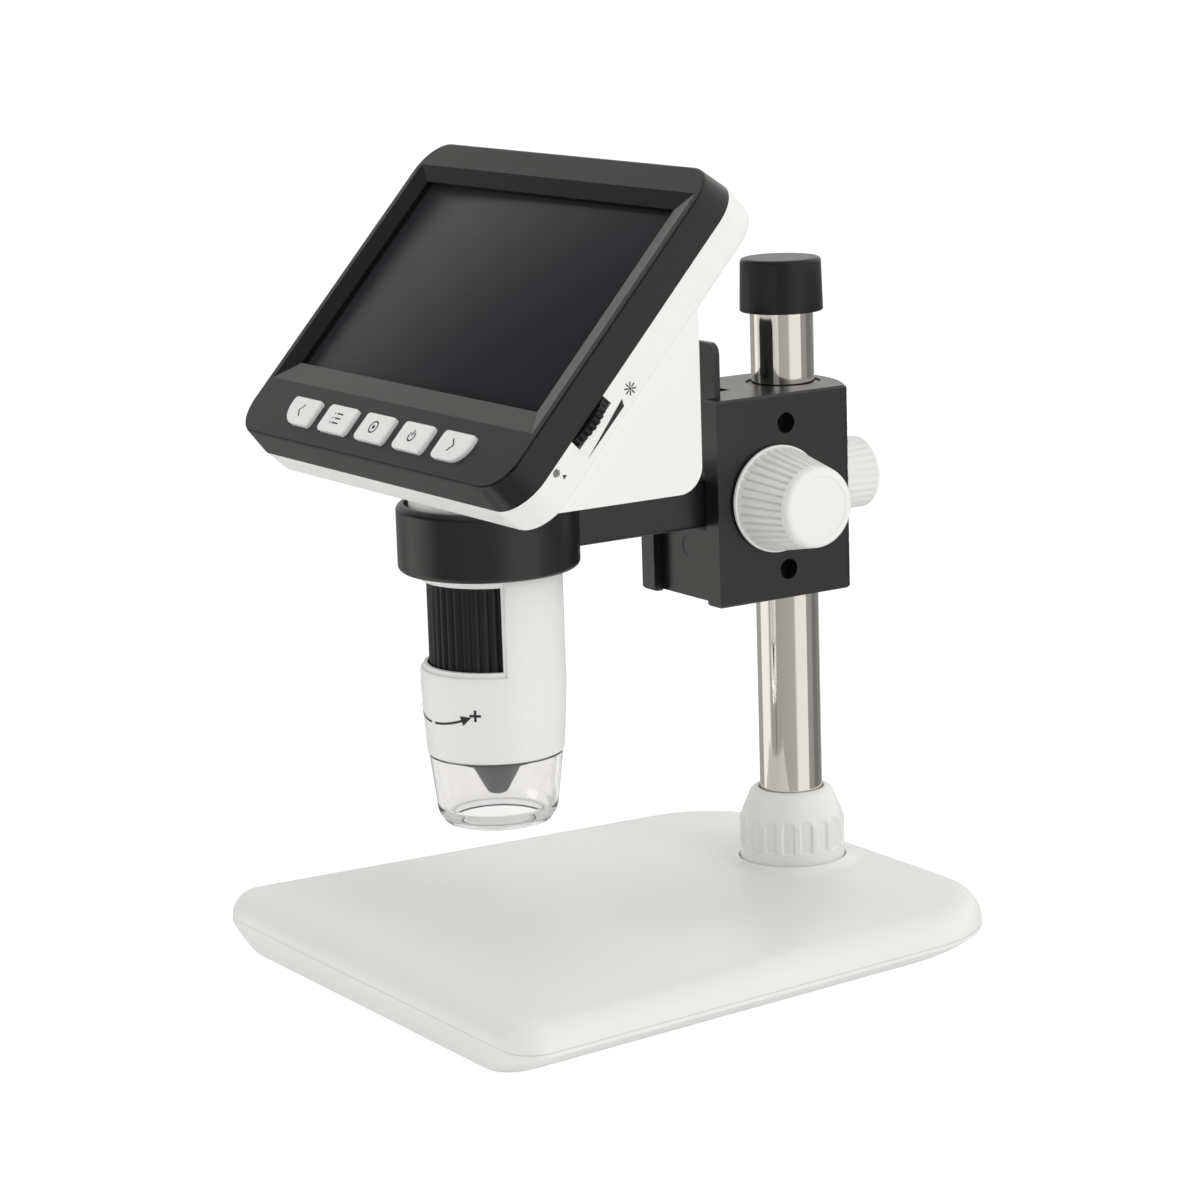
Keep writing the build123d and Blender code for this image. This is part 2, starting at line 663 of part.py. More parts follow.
parts["column_bush"] = column_bush()
parts["rack_block"] = rack_block()
parts["side_screws"] = side_screws()
parts["pinion_bushes"] = pinion_bushes()
parts["lock_insert"] = lock_insert()
parts["lock_knob"] = lock_knob()
parts["lock_screw"] = lock_screw()


# ---- rack and pinion
def pinion_gear():
    """Involute pinion drawn about its own axis, with a tooth space on its -Y side."""
    pitch_radius = GEAR_MODULE * PINION_TEETH / 2
    base_radius = pitch_radius * cos(radians(PRESSURE_ANGLE))
    root_radius = pitch_radius - PINION_DEDENDUM * GEAR_MODULE
    tip_radius = pitch_radius + GEAR_MODULE

    def roll(radius):
        stretch = sqrt((radius / base_radius) ** 2 - 1)
        return stretch - atan2(stretch, 1)

    half_tooth = pi / (2 * PINION_TEETH) - TOOTH_GAP / (2 * pitch_radius) + roll(pitch_radius)

    def flank_point(radius, side):
        turn = half_tooth - roll(max(radius, base_radius))
        return (radius * cos(side * turn), radius * sin(side * turn))

    flank = [base_radius + i / FLANK_STEPS * (tip_radius - base_radius) for i in range(FLANK_STEPS + 1)]
    rising = [flank_point(radius, -1) for radius in [root_radius] + flank]
    falling = [flank_point(radius, 1) for radius in flank[::-1] + [root_radius]]
    tooth = make_face(Polyline((0, 0), *rising, *falling, close=True))
    blank = Circle(root_radius + SEAT_GAP)
    step = 360 / PINION_TEETH
    wheel = blank + [Rot(0, 0, -90 + step / 2 + step * i) * tooth for i in range(PINION_TEETH)]
    return extrude(wheel, amount=PINION_WIDTH / 2, both=True)


def pinion_shaft():
    """Gear cut in one piece with its shaft, along X."""
    half_length = BLOCK_HALF_WIDTH + KNOB_GAP + KNOB_LENGTH / 2
    shaft = across(SHAFT_RADIUS, -half_length, half_length, PINION_REACH, PINION_Z)
    gear = Plane(origin=(0, reach(PINION_REACH), PINION_Z), x_dir=(0, 0, -1), z_dir=(1, 0, 0)) * pinion_gear()
    return shaft + gear


def focus_rack():
    """Straight rack screwed to the back of the slide plate."""
    root = rack_pitch_reach + GEAR_MODULE * RACK_DEDENDUM
    pitch = pi * GEAR_MODULE
    slope = tan(radians(PRESSURE_ANGLE))
    half = pitch / 4 - TOOTH_GAP / 2
    drop = root - rack_pitch_reach
    rise = rack_pitch_reach - rack_tip_reach
    bar = span_box(-RACK_WIDTH / 2, RACK_WIDTH / 2, plate_rear, root, RACK_BOTTOM_Z, RACK_TOP_Z)
    wide = half + slope * drop
    narrow = half - slope * rise
    tooth_points = [(reach(root + JOIN), -wide), (reach(root), -wide), (reach(rack_tip_reach), -narrow),
                    (reach(rack_tip_reach), narrow), (reach(root), wide), (reach(root + JOIN), wide)]
    profile = Plane.YZ * make_face(Polyline(*tooth_points, close=True))
    tooth = extrude(profile, amount=RACK_WIDTH / 2, both=True)
    below = int((PINION_Z - RACK_BOTTOM_Z) / pitch - 1 / 2)
    above = int((RACK_TOP_Z - PINION_Z) / pitch - 1 / 2)
    return bar + [Pos(0, 0, PINION_Z + pitch * i) * tooth for i in range(-below, above + 1)]


def focus_knob(side):
    """Fluted conical knob, hollow behind, with a hub for the shaft."""
    ceiling = KNOB_LENGTH - KNOB_EDGE - KNOB_WALL
    cone_radius = KNOB_BASE_RADIUS - KNOB_STEP
    outer = turned((0, 0), (KNOB_BASE_RADIUS, 0), (KNOB_BASE_RADIUS, KNOB_RIM), (cone_radius, KNOB_RIM),
                   (KNOB_FACE_RADIUS, KNOB_LENGTH), (0, KNOB_LENGTH))
    circles = outer.edges().filter_by(GeomType.CIRCLE).sort_by(Axis.Z)
    outer = fillet(circles[-1], KNOB_EDGE)
    hub = SHAFT_RADIUS + KNOB_WALL
    cavity = turned((hub, -CUT), (KNOB_BASE_RADIUS - KNOB_WALL, -CUT),
                    (KNOB_FACE_RADIUS - KNOB_WALL, ceiling), (hub, ceiling))
    knob = outer - cavity - disc(SHAFT_RADIUS + SEAT_GAP, -CUT, KNOB_LENGTH / 2 + END_GAP)
    dish_floor = KNOB_LENGTH - KNOB_DISH_DEPTH
    knob -= tube(KNOB_DISH_RADIUS, KNOB_DISH_RADIUS - KNOB_DISH_WIDTH, dish_floor, KNOB_LENGTH + CUT)
    lean = degrees(atan2(cone_radius - KNOB_FACE_RADIUS, KNOB_LENGTH - KNOB_RIM))
    groove = Pos(cone_radius, 0, KNOB_RIM) * Rot(0, -lean, 0) * Pos(0, 0, KNOB_FLUTE_START)
    groove = groove * Box(2 * KNOB_FLUTE_DEPTH, KNOB_FLUTE_WIDTH, KNOB_FLUTE_LENGTH, align=UP)
    knob -= ring_of(groove, KNOB_FLUTES)
    seat = Pos(side * (BLOCK_HALF_WIDTH + KNOB_GAP), reach(PINION_REACH), PINION_Z)
    return seat * Rot(0, side * 90, 0) * knob


parts["pinion_shaft"] = pinion_shaft()
parts["focus_knob_right"] = focus_knob(1)
parts["focus_knob_left"] = focus_knob(-1)


# ---- bracket with its ring
liner_outer = NECK_RADIUS + RUN_GAP + LINER_WALL
ring_bore = liner_outer + RUN_GAP
drop_radius = BARREL_RADIUS + DROP_GAP
plate_front = plate_rear + PLATE_THICKNESS
liner_floor_z = RING_BOTTOM_Z + RING_LIP + RUN_GAP
rack_screw_heights = (RACK_BOTTOM_Z + RACK_SCREW_INSET, RACK_TOP_Z - RACK_SCREW_INSET)
rack_screw_seat = plate_front - PLATE_THICKNESS / 2


def rack_screw_hole(radius, near, far, height):
    return Pos(0, reach(far), height) * Rot(-90, 0, 0) * Cylinder(radius, far - near, align=UP)


def bracket():
    plate_plan = Plane.XZ * Pos(0, (PLATE_BOTTOM_Z + PLATE_TOP_Z) / 2) * Rectangle(
        2 * PLATE_HALF_WIDTH, PLATE_TOP_Z - PLATE_BOTTOM_Z)
    plate_plan = fillet(plate_plan.vertices().sort_by(Axis.Z)[-2:], PLATE_CORNER)
    plate = Pos(0, reach(plate_rear), 0) * extrude(plate_plan, amount=PLATE_THICKNESS)
    ring = at_axis * disc(RING_RADIUS, RING_BOTTOM_Z, RING_TOP_Z)
    rims = ring.edges().filter_by(GeomType.CIRCLE)
    ring = fillet(rims, RING_EDGE)
    arm = span_box(-ARM_HALF_WIDTH, ARM_HALF_WIDTH, AXIS_REACH - RING_RADIUS / 2, plate_front - JOIN,
                   ARM_BOTTOM_Z, ARM_TOP_Z)
    arm = fillet(arm.edges().filter_by(Axis.Y), ARM_EDGE)
    root_end = plate_front + ARM_ROOT_FILLET
    root_heights = (ARM_BOTTOM_Z - ARM_ROOT_FILLET, ARM_TOP_Z + ARM_ROOT_FILLET)
    root = span_box(-ARM_HALF_WIDTH, ARM_HALF_WIDTH, root_end, plate_front - JOIN, *root_heights)
    for height in root_heights:
        root -= across(ARM_ROOT_FILLET, -2 * ARM_HALF_WIDTH, 2 * ARM_HALF_WIDTH, root_end, height)
    body = plate + ring + arm + root
    body -= at_axis * disc(ring_bore, RING_BOTTOM_Z + RING_LIP, RING_TOP_Z + CUT)
    body -= at_axis * disc(drop_radius, RING_BOTTOM_Z - CUT, RING_TOP_Z + CUT)
    for height in rack_screw_heights:
        body -= rack_screw_hole(RACK_SCREW_RADIUS + RUN_GAP, plate_rear - CUT, plate_front + CUT, height)
        body -= rack_screw_hole(2 * RACK_SCREW_RADIUS + SEAT_GAP, rack_screw_seat, plate_front + CUT, height)
    return body


def rack_screws():
    screws = []
    for height in rack_screw_heights:
        shank = rack_screw_hole(RACK_SCREW_RADIUS, plate_rear - RACK_SCREW_BITE, rack_screw_seat, height)
        head = rack_screw_hole(2 * RACK_SCREW_RADIUS, rack_screw_seat, plate_front - SCREW_SINK / 4, height)
        screws.append(shank + head)
    return screws


def screwed_rack():
    rack = focus_rack()
    for height in rack_screw_heights:
        rack -= rack_screw_hole(RACK_SCREW_RADIUS + SEAT_GAP, plate_rear - RACK_SCREW_BITE - END_GAP,
                                plate_rear + CUT, height)
    return rack


def ring_liner():
    sleeve = tube(liner_outer, NECK_RADIUS + RUN_GAP, liner_floor_z, RING_TOP_Z - RING_EDGE)
    floor = tube(liner_outer, drop_radius, liner_floor_z, liner_floor_z + LINER_FLOOR)
    return at_axis * (sleeve + floor)


parts["bracket"] = bracket()
parts["focus_rack"] = screwed_rack()
parts["rack_screws"] = rack_screws()
parts["ring_liner"] = ring_liner()

# ---- display head, drawn in its own frame and tilted back
tilt = radians(HEAD_TILT)
head_plane = Plane(origin=(0, reach(HEAD_REACH), HEAD_Z), x_dir=(1, 0, 0), z_dir=(0, -sin(tilt), cos(tilt)))
head_place = head_plane.location
glass_front = BEZEL_WALL + SEAT_GAP
panel_front = glass_front + GLASS_THICKNESS + SEAT_GAP
board_back = BOARD_DEPTH + BOARD_THICKNESS
shell_floor = SHELL_DEPTH - SHELL_WALL
head_screw_ledge = -shell_floor + SHELL_WALL / 4
side_x = HEAD_HALF_WIDTH + HEAD_FLARE
head_screw_spots = [(x, v) for x in (-HEAD_SCREW_X, HEAD_SCREW_X)
                    for v in (HEAD_SCREW_LOW_V, HEAD_SCREW_HIGH_V)]
key_centres = [KEY_PITCH * (i - (len(KEY_NAMES) - 1) / 2) for i in range(len(KEY_NAMES))]
key_posts = [side * (centre + KEY_PITCH / 2) for side in (-1, 1) for centre in key_centres[-2:]]


def head_section(grow, depth):
    """Outline of the head parallel to the screen, at a depth behind its front face."""
    plan = RectangleRounded(2 * (HEAD_HALF_WIDTH + grow), HEAD_HEIGHT + 2 * grow, HEAD_CORNER + grow)
    return Pos(0, HEAD_HEIGHT / 2, -depth) * plan


def bezel_body(front, back, wall):
    flare = HEAD_FLARE / BEZEL_DEPTH
    return loft([head_section(flare * front - wall, front), head_section(flare * back - wall, back)])


def key_outline(index, grow):
    outline = Rectangle(KEY_WIDTH + 2 * grow, KEY_HEIGHT + 2 * grow)
    corners = outline.vertices().sort_by(Axis.Y)
    lower = corners[:2].sort_by(Axis.X)
    big = {0: lower[:1], len(KEY_NAMES) - 1: lower[1:]}.get(index, [])
    small = [corner for corner in corners if corner not in big]
    outline = fillet(small, KEY_CORNER + grow)
    if big:
        where = big[0].center()
        far = outline.vertices().sort_by_distance(where)[:1]
        outline = fillet(far, KEY_ROUND_CORNER + grow)
    return Pos(key_centres[index], KEY_V) * outline


def recess():
    """Shallow picture-frame slope round the screen window."""
    wide = Rectangle(2 * (WINDOW_HALF_WIDTH + SLOPE_SIDE),
                     WINDOW_HIGH_V - WINDOW_LOW_V + SLOPE_LOW + SLOPE_HIGH)
    middle = (WINDOW_HIGH_V + WINDOW_LOW_V) / 2
    rim = Pos(0, middle + (SLOPE_HIGH - SLOPE_LOW) / 2, 0) * wide
    window = Rectangle(2 * WINDOW_HALF_WIDTH, WINDOW_HIGH_V - WINDOW_LOW_V)
    slope = loft([rim, Pos(0, middle, -WINDOW_DROP) * window])
    return slope + extrude(Pos(0, middle, 0) * window, amount=-2 * BEZEL_WALL)


def bezel():
    shell = bezel_body(0, BEZEL_DEPTH, 0)
    shell = fillet(shell.faces().sort_by(Axis.Z)[-1].edges(), KEY_EDGE)
    shell -= bezel_body(BEZEL_WALL, BEZEL_DEPTH, BEZEL_WALL)
    shell -= recess()
    for index in range(len(KEY_NAMES)):
        shell -= Pos(0, 0, -2 * BEZEL_WALL) * extrude(key_outline(index, KEY_GAP), amount=3 * BEZEL_WALL)
    posts = [disc(KEY_POST_RADIUS, -KEY_BOARD_DEPTH, -BEZEL_WALL / 2, x, KEY_V) for x in key_posts]
    bosses = [disc(HEAD_BOSS_RADIUS, -BEZEL_DEPTH, -BEZEL_WALL / 2, x, v) for x, v in head_screw_spots]
    pilots = [disc(HEAD_SCREW_RADIUS, -BEZEL_DEPTH - 1, -BEZEL_WALL, x, v) for x, v in head_screw_spots]
    return head_place * (shell + posts + bosses - pilots)


def wedge(inset, depth, half_width, corner):
    """Triangular swelling behind the shell that sits over the barrel."""
    low_z = WEDGE_BOTTOM_Z + inset
    rear_y = reach(WEDGE_REAR_REACH + inset)
    front_v = (low_z - HEAD_Z + depth * cos(tilt)) / sin(tilt)
    front_y = reach(HEAD_REACH) + front_v * cos(tilt) + depth * sin(tilt)
    top_v = (rear_y - reach(HEAD_REACH) - depth * sin(tilt)) / cos(tilt)
    top_z = HEAD_Z + top_v * sin(tilt) - depth * cos(tilt)
    side = make_face(Polyline((front_y, low_z), (rear_y, low_z), (rear_y, top_z), close=True))
    rear_corner = side.vertices().sort_by_distance((rear_y, low_z, 0))[:1]
    side = fillet(rear_corner, corner)
    return extrude(Plane.YZ * side, amount=half_width, both=True)


cover_seat = WEDGE_REAR_REACH + COVER_THICKNESS + SEAT_GAP
cell_end = CELL_LENGTH / 2
cell_reach = WEDGE_REAR_REACH + COVER_THICKNESS + CELL_COVER_GAP + CELL_RADIUS
cell_depth = board_back + CELL_BOARD_GAP + CELL_RADIUS
cell_z = HEAD_Z + ((HEAD_REACH - cell_reach) * sin(tilt) - cell_depth) / cos(tilt)
cover_low_z = cell_z - CELL_RADIUS - COVER_MARGIN
cover_high_z = cell_z + CELL_RADIUS + COVER_MARGIN
cover_screw_z = cover_high_z - COVER_SCREW_INSET
end_plate_x = cell_end + 2 * CONTACT_GAP + CONTACT_THICKNESS + RIB_THICKNESS / 2


def rib(x):
    """Web across the wedge, standing on its floor behind the circuit board."""
    web = wedge(SHELL_WALL / 2, board_back, BOARD_HALF_WIDTH, WEDGE_CORNER - SHELL_WALL / 2)
    slab = span_box(x - RIB_THICKNESS / 2, x + RIB_THICKNESS / 2, HEAD_REACH, cover_seat,
                    WEDGE_BOTTOM_Z + SHELL_WALL / 2, HEAD_Z + HEAD_HEIGHT)
    return web & slab


def battery_slot():
    radius = CELL_RADIUS + RUN_GAP
    seat = across(radius, -cell_end, cell_end, cell_reach, cell_z)
    mouth = span_box(-cell_end, cell_end, cell_reach, WEDGE_REAR_REACH - CUT,
                     cell_z - radius, cell_z + radius)
    return seat + mouth


def cover_boss():
    """Boss on the shell that takes the cover's screw."""
    high = cover_low_z + 2 * (CELL_RADIUS + COVER_MARGIN) + COVER_SCREW_RADIUS
    boss = span_box(-COVER_BOSS_HALF, COVER_BOSS_HALF, WEDGE_REAR_REACH + COVER_BOSS_DEPTH, cover_seat,
                    high - COVER_BOSS_HEIGHT, high)
    return boss


def port_notch(v, width):
    return box(-side_x - CUT, -BOARD_HALF_WIDTH, v - width / 2 - RUN_GAP, v + width / 2 + RUN_GAP,
               -BOARD_DEPTH - RUN_GAP, -BEZEL_DEPTH + CUT)


def wheel_centre():
    return side_x + WHEEL_PROUD - WHEEL_RADIUS, WHEEL_V


wheel_top = BEZEL_DEPTH + WHEEL_SEAM_GAP
reset_depth = BEZEL_DEPTH + RESET_FLANGE_RADIUS + RESET_GAP
spigot_outer = NECK_RADIUS - SPIGOT_WALL


def reset_pin(radius, x0, x1):
    return Pos(x0, RESET_V, -reset_depth) * Rot(0, 90, 0) * Cylinder(radius, x1 - x0, align=UP)


def rear_shell():
    plate = loft([head_section(HEAD_FLARE, BEZEL_DEPTH), head_section(HEAD_FLARE - SHELL_DRAFT, SHELL_DEPTH)])
    plate = fillet(plate.faces().sort_by(Axis.Z)[0].edges(), SHELL_EDGE)
    inside = HEAD_FLARE - SHELL_WALL
    hollow = loft([head_section(inside, BEZEL_DEPTH), head_section(inside, shell_floor)])
    body = head_place * plate + wedge(0, SHELL_DEPTH - SHELL_WALL / 2, WEDGE_HALF_WIDTH, WEDGE_CORNER)
    body += at_axis * disc(NECK_RADIUS, NECK_SEAM_Z, WEDGE_BOTTOM_Z + WEDGE_CORNER)
    body -= head_place * hollow
    body -= wedge(SHELL_WALL, shell_floor - JOIN, WEDGE_HALF_WIDTH - SHELL_WALL, WEDGE_CORNER - SHELL_WALL)
    body += at_axis * disc(NECK_RADIUS, NECK_SEAM_Z + JOIN, NECK_SEAM_Z + SPIGOT_HEIGHT)
    for x in (-end_plate_x, -RIB_X, RIB_X, end_plate_x):
        body += rib(x)
    body -= span_box(-COVER_HALF_WIDTH, COVER_HALF_WIDTH, cover_seat, WEDGE_REAR_REACH - CUT,
                     cover_low_z, cover_high_z)
    body -= battery_slot()
    body += cover_boss()
    pilot_end = -WEDGE_REAR_REACH - COVER_SCREW_LENGTH - END_GAP
    body -= rearward(COVER_SCREW_RADIUS + SEAT_GAP, pilot_end, 0, cover_screw_z)
    body -= at_axis * disc(spigot_outer + SEAT_GAP, NECK_SEAM_Z - CUT, NECK_SEAM_Z + SPIGOT_HEIGHT + CUT)
    foot = -shell_floor - SHELL_WALL / 2
    bosses = [disc(HEAD_BOSS_RADIUS, foot, -BEZEL_DEPTH, x, v) for x, v in head_screw_spots]
    stands = [disc(HEAD_BOSS_RADIUS, foot, -board_back, x, PANEL_HIGH_V - STAND_INSET)
              for x in (-STAND_PITCH, 0, STAND_PITCH)]
    body += [head_place * piece for piece in bosses + stands]
    cuts = [port_notch(USB_V, USB_WIDTH), port_notch(CARD_V, CARD_WIDTH)]
    x, v = wheel_centre()
    cuts.append(disc(WHEEL_RADIUS + WHEEL_GAP, -BOARD_DEPTH + WHEEL_GAP, -BEZEL_DEPTH + CUT, x, v))
    cuts.append(reset_pin(RESET_RADIUS + RUN_GAP, side_x - 2 * SHELL_WALL, side_x + CUT))
    for x, v in head_screw_spots:
        cuts.append(disc(HEAD_SCREW_RADIUS + RUN_GAP, -SHELL_DEPTH - CUT, 0, x, v))
        cuts.append(disc(2 * HEAD_SCREW_RADIUS, -SHELL_DEPTH - CUT, head_screw_ledge, x, v))
    return body - [head_place * cut for cut in cuts]


def head_screws():
    screws = []
    for x, v in head_screw_spots:
        shank = disc(HEAD_SCREW_RADIUS - SEAT_GAP, -shell_floor, -BEZEL_WALL - END_GAP, x, v)
        head = disc(2 * HEAD_SCREW_RADIUS - SEAT_GAP, -SHELL_DEPTH + SCREW_SINK, head_screw_ledge, x, v)
        screws.append(head_place * (shank + head))
    return screws


def key(index):
    """Moulded key: proud cap, flange behind the bezel and stem over its switch."""
    flange_top = -BEZEL_WALL - KEY_FLANGE_GAP
    cap = Pos(0, 0, flange_top) * extrude(key_outline(index, 0), amount=KEY_PROUD - flange_top)
    cap = fillet(cap.faces().sort_by(Axis.Z)[-1].edges(), KEY_EDGE)
    flange_plan = Rectangle(KEY_WIDTH + KEY_FLANGE, KEY_HEIGHT + 2 * KEY_FLANGE)
    flange = Pos(key_centres[index], KEY_V, flange_top) * extrude(flange_plan, amount=-KEY_FLANGE_THICKNESS)
    switch_top = SWITCH_BODY + SWITCH_PLUNGER - KEY_BOARD_DEPTH
    stem_end = switch_top + KEY_TRAVEL + KEY_FLANGE_GAP
    stem = disc(KEY_STEM_RADIUS, stem_end, flange_top, key_centres[index], KEY_V)
    return head_place * (cap + flange + stem)


def key_switches():
    switches = []
    for x in key_centres:
        half = SWITCH_SIZE / 2
        low = -KEY_BOARD_DEPTH
        body = box(x - half, x + half, KEY_V - half, KEY_V + half, low, low + SWITCH_BODY)
        body += disc(SWITCH_PLUNGER_RADIUS, low, low + SWITCH_BODY + SWITCH_PLUNGER, x, KEY_V)
        switches.append(head_place * body)
    return switches


def key_board():
    board = box(-KEY_BOARD_HALF_WIDTH, KEY_BOARD_HALF_WIDTH, KEY_BOARD_LOW_V, KEY_BOARD_HIGH_V,
                -KEY_BOARD_DEPTH - BOARD_THICKNESS, -KEY_BOARD_DEPTH)
    return head_place * board


def main_board():
    board = box(-BOARD_HALF_WIDTH, BOARD_HALF_WIDTH, BOARD_LOW_V, PANEL_HIGH_V, -board_back, -BOARD_DEPTH)
    middle_v = (BOARD_LOW_V + PANEL_HIGH_V) / 2
    for side in (-1, 1):
        board += chip(side * PROCESSOR_SIZE, middle_v, PROCESSOR_SIZE, PROCESSOR_SIZE)
        board += chip(side * PROCESSOR_SIZE, middle_v + PROCESSOR_SIZE, MEMORY_WIDTH, MEMORY_HEIGHT)
    board += chip(0, BOARD_LOW_V + 2 * RIBBON_HEIGHT, RIBBON_WIDTH, RIBBON_HEIGHT)
    return head_place * board


def chip(x, v, width, height):
    """Component on the front of the circuit board, centred at (x, v)."""
    return box(x - width / 2, x + width / 2, v - height / 2, v + height / 2,
               -BOARD_DEPTH - BOARD_THICKNESS / 2, -BOARD_DEPTH + CHIP_THICKNESS)


def port_shell(v, width, height, depth):
    """Metal socket on the board, open at the left side of the head."""
    start = -side_x + PORT_SINK
    half = width / 2
    shell = box(start, start + depth, v - half, v + half, -BOARD_DEPTH, -BOARD_DEPTH + height)
    mouth = box(-side_x, start + depth - PORT_WALL, v - half + PORT_WALL, v + half - PORT_WALL,
                -BOARD_DEPTH + PORT_WALL, -BOARD_DEPTH + height - PORT_WALL)
    return shell - mouth


def usb_port():
    middle = -BOARD_DEPTH + USB_HEIGHT / 2
    half = USB_WIDTH / 4
    tongue = box(-side_x + USB_TONGUE_SINK, -side_x + PORT_SINK + USB_DEPTH, USB_V - half, USB_V + half,
                 middle - USB_TONGUE / 2, middle + USB_TONGUE / 2)
    return head_place * (port_shell(USB_V, USB_WIDTH, USB_HEIGHT, USB_DEPTH) + tongue)


def brightness_pot():
    x, v = wheel_centre()
    wheel_bottom = -wheel_top - WHEEL_THICKNESS
    body = disc(POT_RADIUS, -BOARD_DEPTH, wheel_bottom - END_GAP, x, v)
    return head_place * (body + disc(WHEEL_PIN_RADIUS, -BOARD_DEPTH, -wheel_top + END_GAP, x, v))


def brightness_wheel():
    x, v = wheel_centre()
    low = -wheel_top - WHEEL_THICKNESS
    wheel = disc(WHEEL_RADIUS, low, -wheel_top)
    notch = Rot(0, 0, 45) * Box(WHEEL_NOTCH, WHEEL_NOTCH, WHEEL_THICKNESS + 2 * CUT, align=UP)
    wheel -= ring_of(Pos(WHEEL_RADIUS, 0, low - CUT) * notch, WHEEL_TEETH)
    wheel -= disc(WHEEL_PIN_RADIUS + RUN_GAP, low - CUT, 0)
    return head_place * (Pos(x, v, 0) * wheel)


def reset_button():
    tip = side_x - RESET_SINK
    start = KEY_BOARD_HALF_WIDTH + RESET_TRAVEL + RESET_GAP
    flange = side_x - SHELL_WALL - RESET_GAP
    pin = reset_pin(RESET_RADIUS, start, tip)
    return head_place * (pin + reset_pin(RESET_FLANGE_RADIUS, flange - RESET_FLANGE_LENGTH, flange))


def reset_switch():
    high = KEY_BOARD_HALF_WIDTH
    body = box(high - RESET_SWITCH_LENGTH, high, RESET_V - RESET_SWITCH_HALF, RESET_V + RESET_SWITCH_HALF,
               -KEY_BOARD_DEPTH, -BEZEL_DEPTH)
    return head_place * body


def battery_cell():
    cell = across(CELL_RADIUS, -cell_end + CELL_BUTTON, cell_end, cell_reach, cell_z)
    return cell + across(CELL_BUTTON_RADIUS, -cell_end, cell_end, cell_reach, cell_z)


def battery_contacts():
    contacts = []
    half = CONTACT_WIDTH / 2
    start = cell_end + CONTACT_GAP
    for side in (-1, 1):
        inner, outer = sorted((side * start, side * (start + CONTACT_THICKNESS)))
        plate = span_box(inner, outer, cell_reach + half, cell_reach - half, cell_z - half, cell_z + half)
        contacts.append(plate)
    return contacts


def battery_cover():
    half = COVER_HALF_WIDTH - COVER_GAP
    cover = span_box(-half, half, WEDGE_REAR_REACH + COVER_THICKNESS, WEDGE_REAR_REACH,
                     cover_low_z + COVER_GAP, cover_high_z - COVER_GAP)
    cover = fillet(cover.faces().sort_by(Axis.Y)[-1].edges(), COVER_EDGE)
    for i in range(COVER_GRIPS):
        z = cover_low_z + COVER_GRIP_INSET + COVER_GRIP_PITCH * i
        grip_floor = WEDGE_REAR_REACH + COVER_GRIP_DEPTH
        cover -= span_box(-COVER_GRIP_HALF_LENGTH, COVER_GRIP_HALF_LENGTH, grip_floor,
                          WEDGE_REAR_REACH - CUT, z, z + COVER_GRIP_WIDTH)
    face = -WEDGE_REAR_REACH
    ledge = face - COVER_THICKNESS / 2
    cover -= rearward(COVER_SCREW_RADIUS + RUN_GAP, face - COVER_SCREW_LENGTH, face + CUT, cover_screw_z)
    return cover - rearward(2 * COVER_SCREW_RADIUS + SEAT_GAP, ledge, face + CUT, cover_screw_z)


def cover_screw():
    face = -WEDGE_REAR_REACH
    ledge = face - COVER_THICKNESS / 2
    shank = rearward(COVER_SCREW_RADIUS, face - COVER_SCREW_LENGTH, ledge, cover_screw_z)
    return shank + rearward(2 * COVER_SCREW_RADIUS, ledge, ledge + COVER_SCREW_HEAD, cover_screw_z)


parts["bezel"] = bezel()
parts["rear_shell"] = rear_shell()
parts["head_screws"] = head_screws()
parts["screen_glass"] = head_place * box(-PANEL_HALF_WIDTH, PANEL_HALF_WIDTH, PANEL_LOW_V, PANEL_HIGH_V,
                                         -glass_front - GLASS_THICKNESS, -glass_front)
parts["lcd_panel"] = head_place * box(-PANEL_HALF_WIDTH, PANEL_HALF_WIDTH, PANEL_LOW_V, PANEL_HIGH_V,
                                      -panel_front - PANEL_THICKNESS, -panel_front)
parts["main_board"] = main_board()
parts["key_board"] = key_board()
parts["key_switches"] = key_switches()
for key_index, key_name in enumerate(KEY_NAMES):
    parts[f"{key_name}_key"] = key(key_index)
parts["usb_port"] = usb_port()
parts["card_socket"] = head_place * port_shell(CARD_V, CARD_WIDTH, CARD_HEIGHT, CARD_DEPTH)
parts["brightness_pot"] = brightness_pot()
parts["brightness_wheel"] = brightness_wheel()
parts["reset_button"] = reset_button()
parts["reset_switch"] = reset_switch()
parts["battery_cell"] = battery_cell()
parts["battery_contacts"] = battery_contacts()
parts["battery_cover"] = battery_cover()
parts["cover_screw"] = cover_screw()


# ---- optical barrel and what it holds
ring_bottom_z = WINDOW_BOTTOM_Z - FOCUS_RING_BELOW
ring_top_z = WINDOW_TOP_Z + FOCUS_RING_ABOVE
guide_z = ring_top_z + END_GAP
ring_bore_radius = FOCUS_RING_RADIUS + FOCUS_RING_GAP
guide_bore_radius = ring_bore_radius + GUIDE_STEP
guide_top_z = guide_z + GUIDE_FLANGE_HEIGHT
shoulder_z = ring_bottom_z - END_GAP / 2
led_ledge_z = LED_BOARD_Z + LED_BOARD_THICKNESS
spigot_bore = BARREL_MOUTH_RADIUS - BARREL_WALL
narrow_bore = CARRIER_RADIUS + CARRIER_GAP
board_hole = NOSE_RADIUS + NOSE_GAP
barrel_upper_radius = BARREL_RADIUS - BARREL_STEP
spigot_top_z = NECK_SEAM_Z + SPIGOT_HEIGHT
lens_z = CARRIER_BOTTOM_Z - LENS_THICKNESS - LENS_SINK


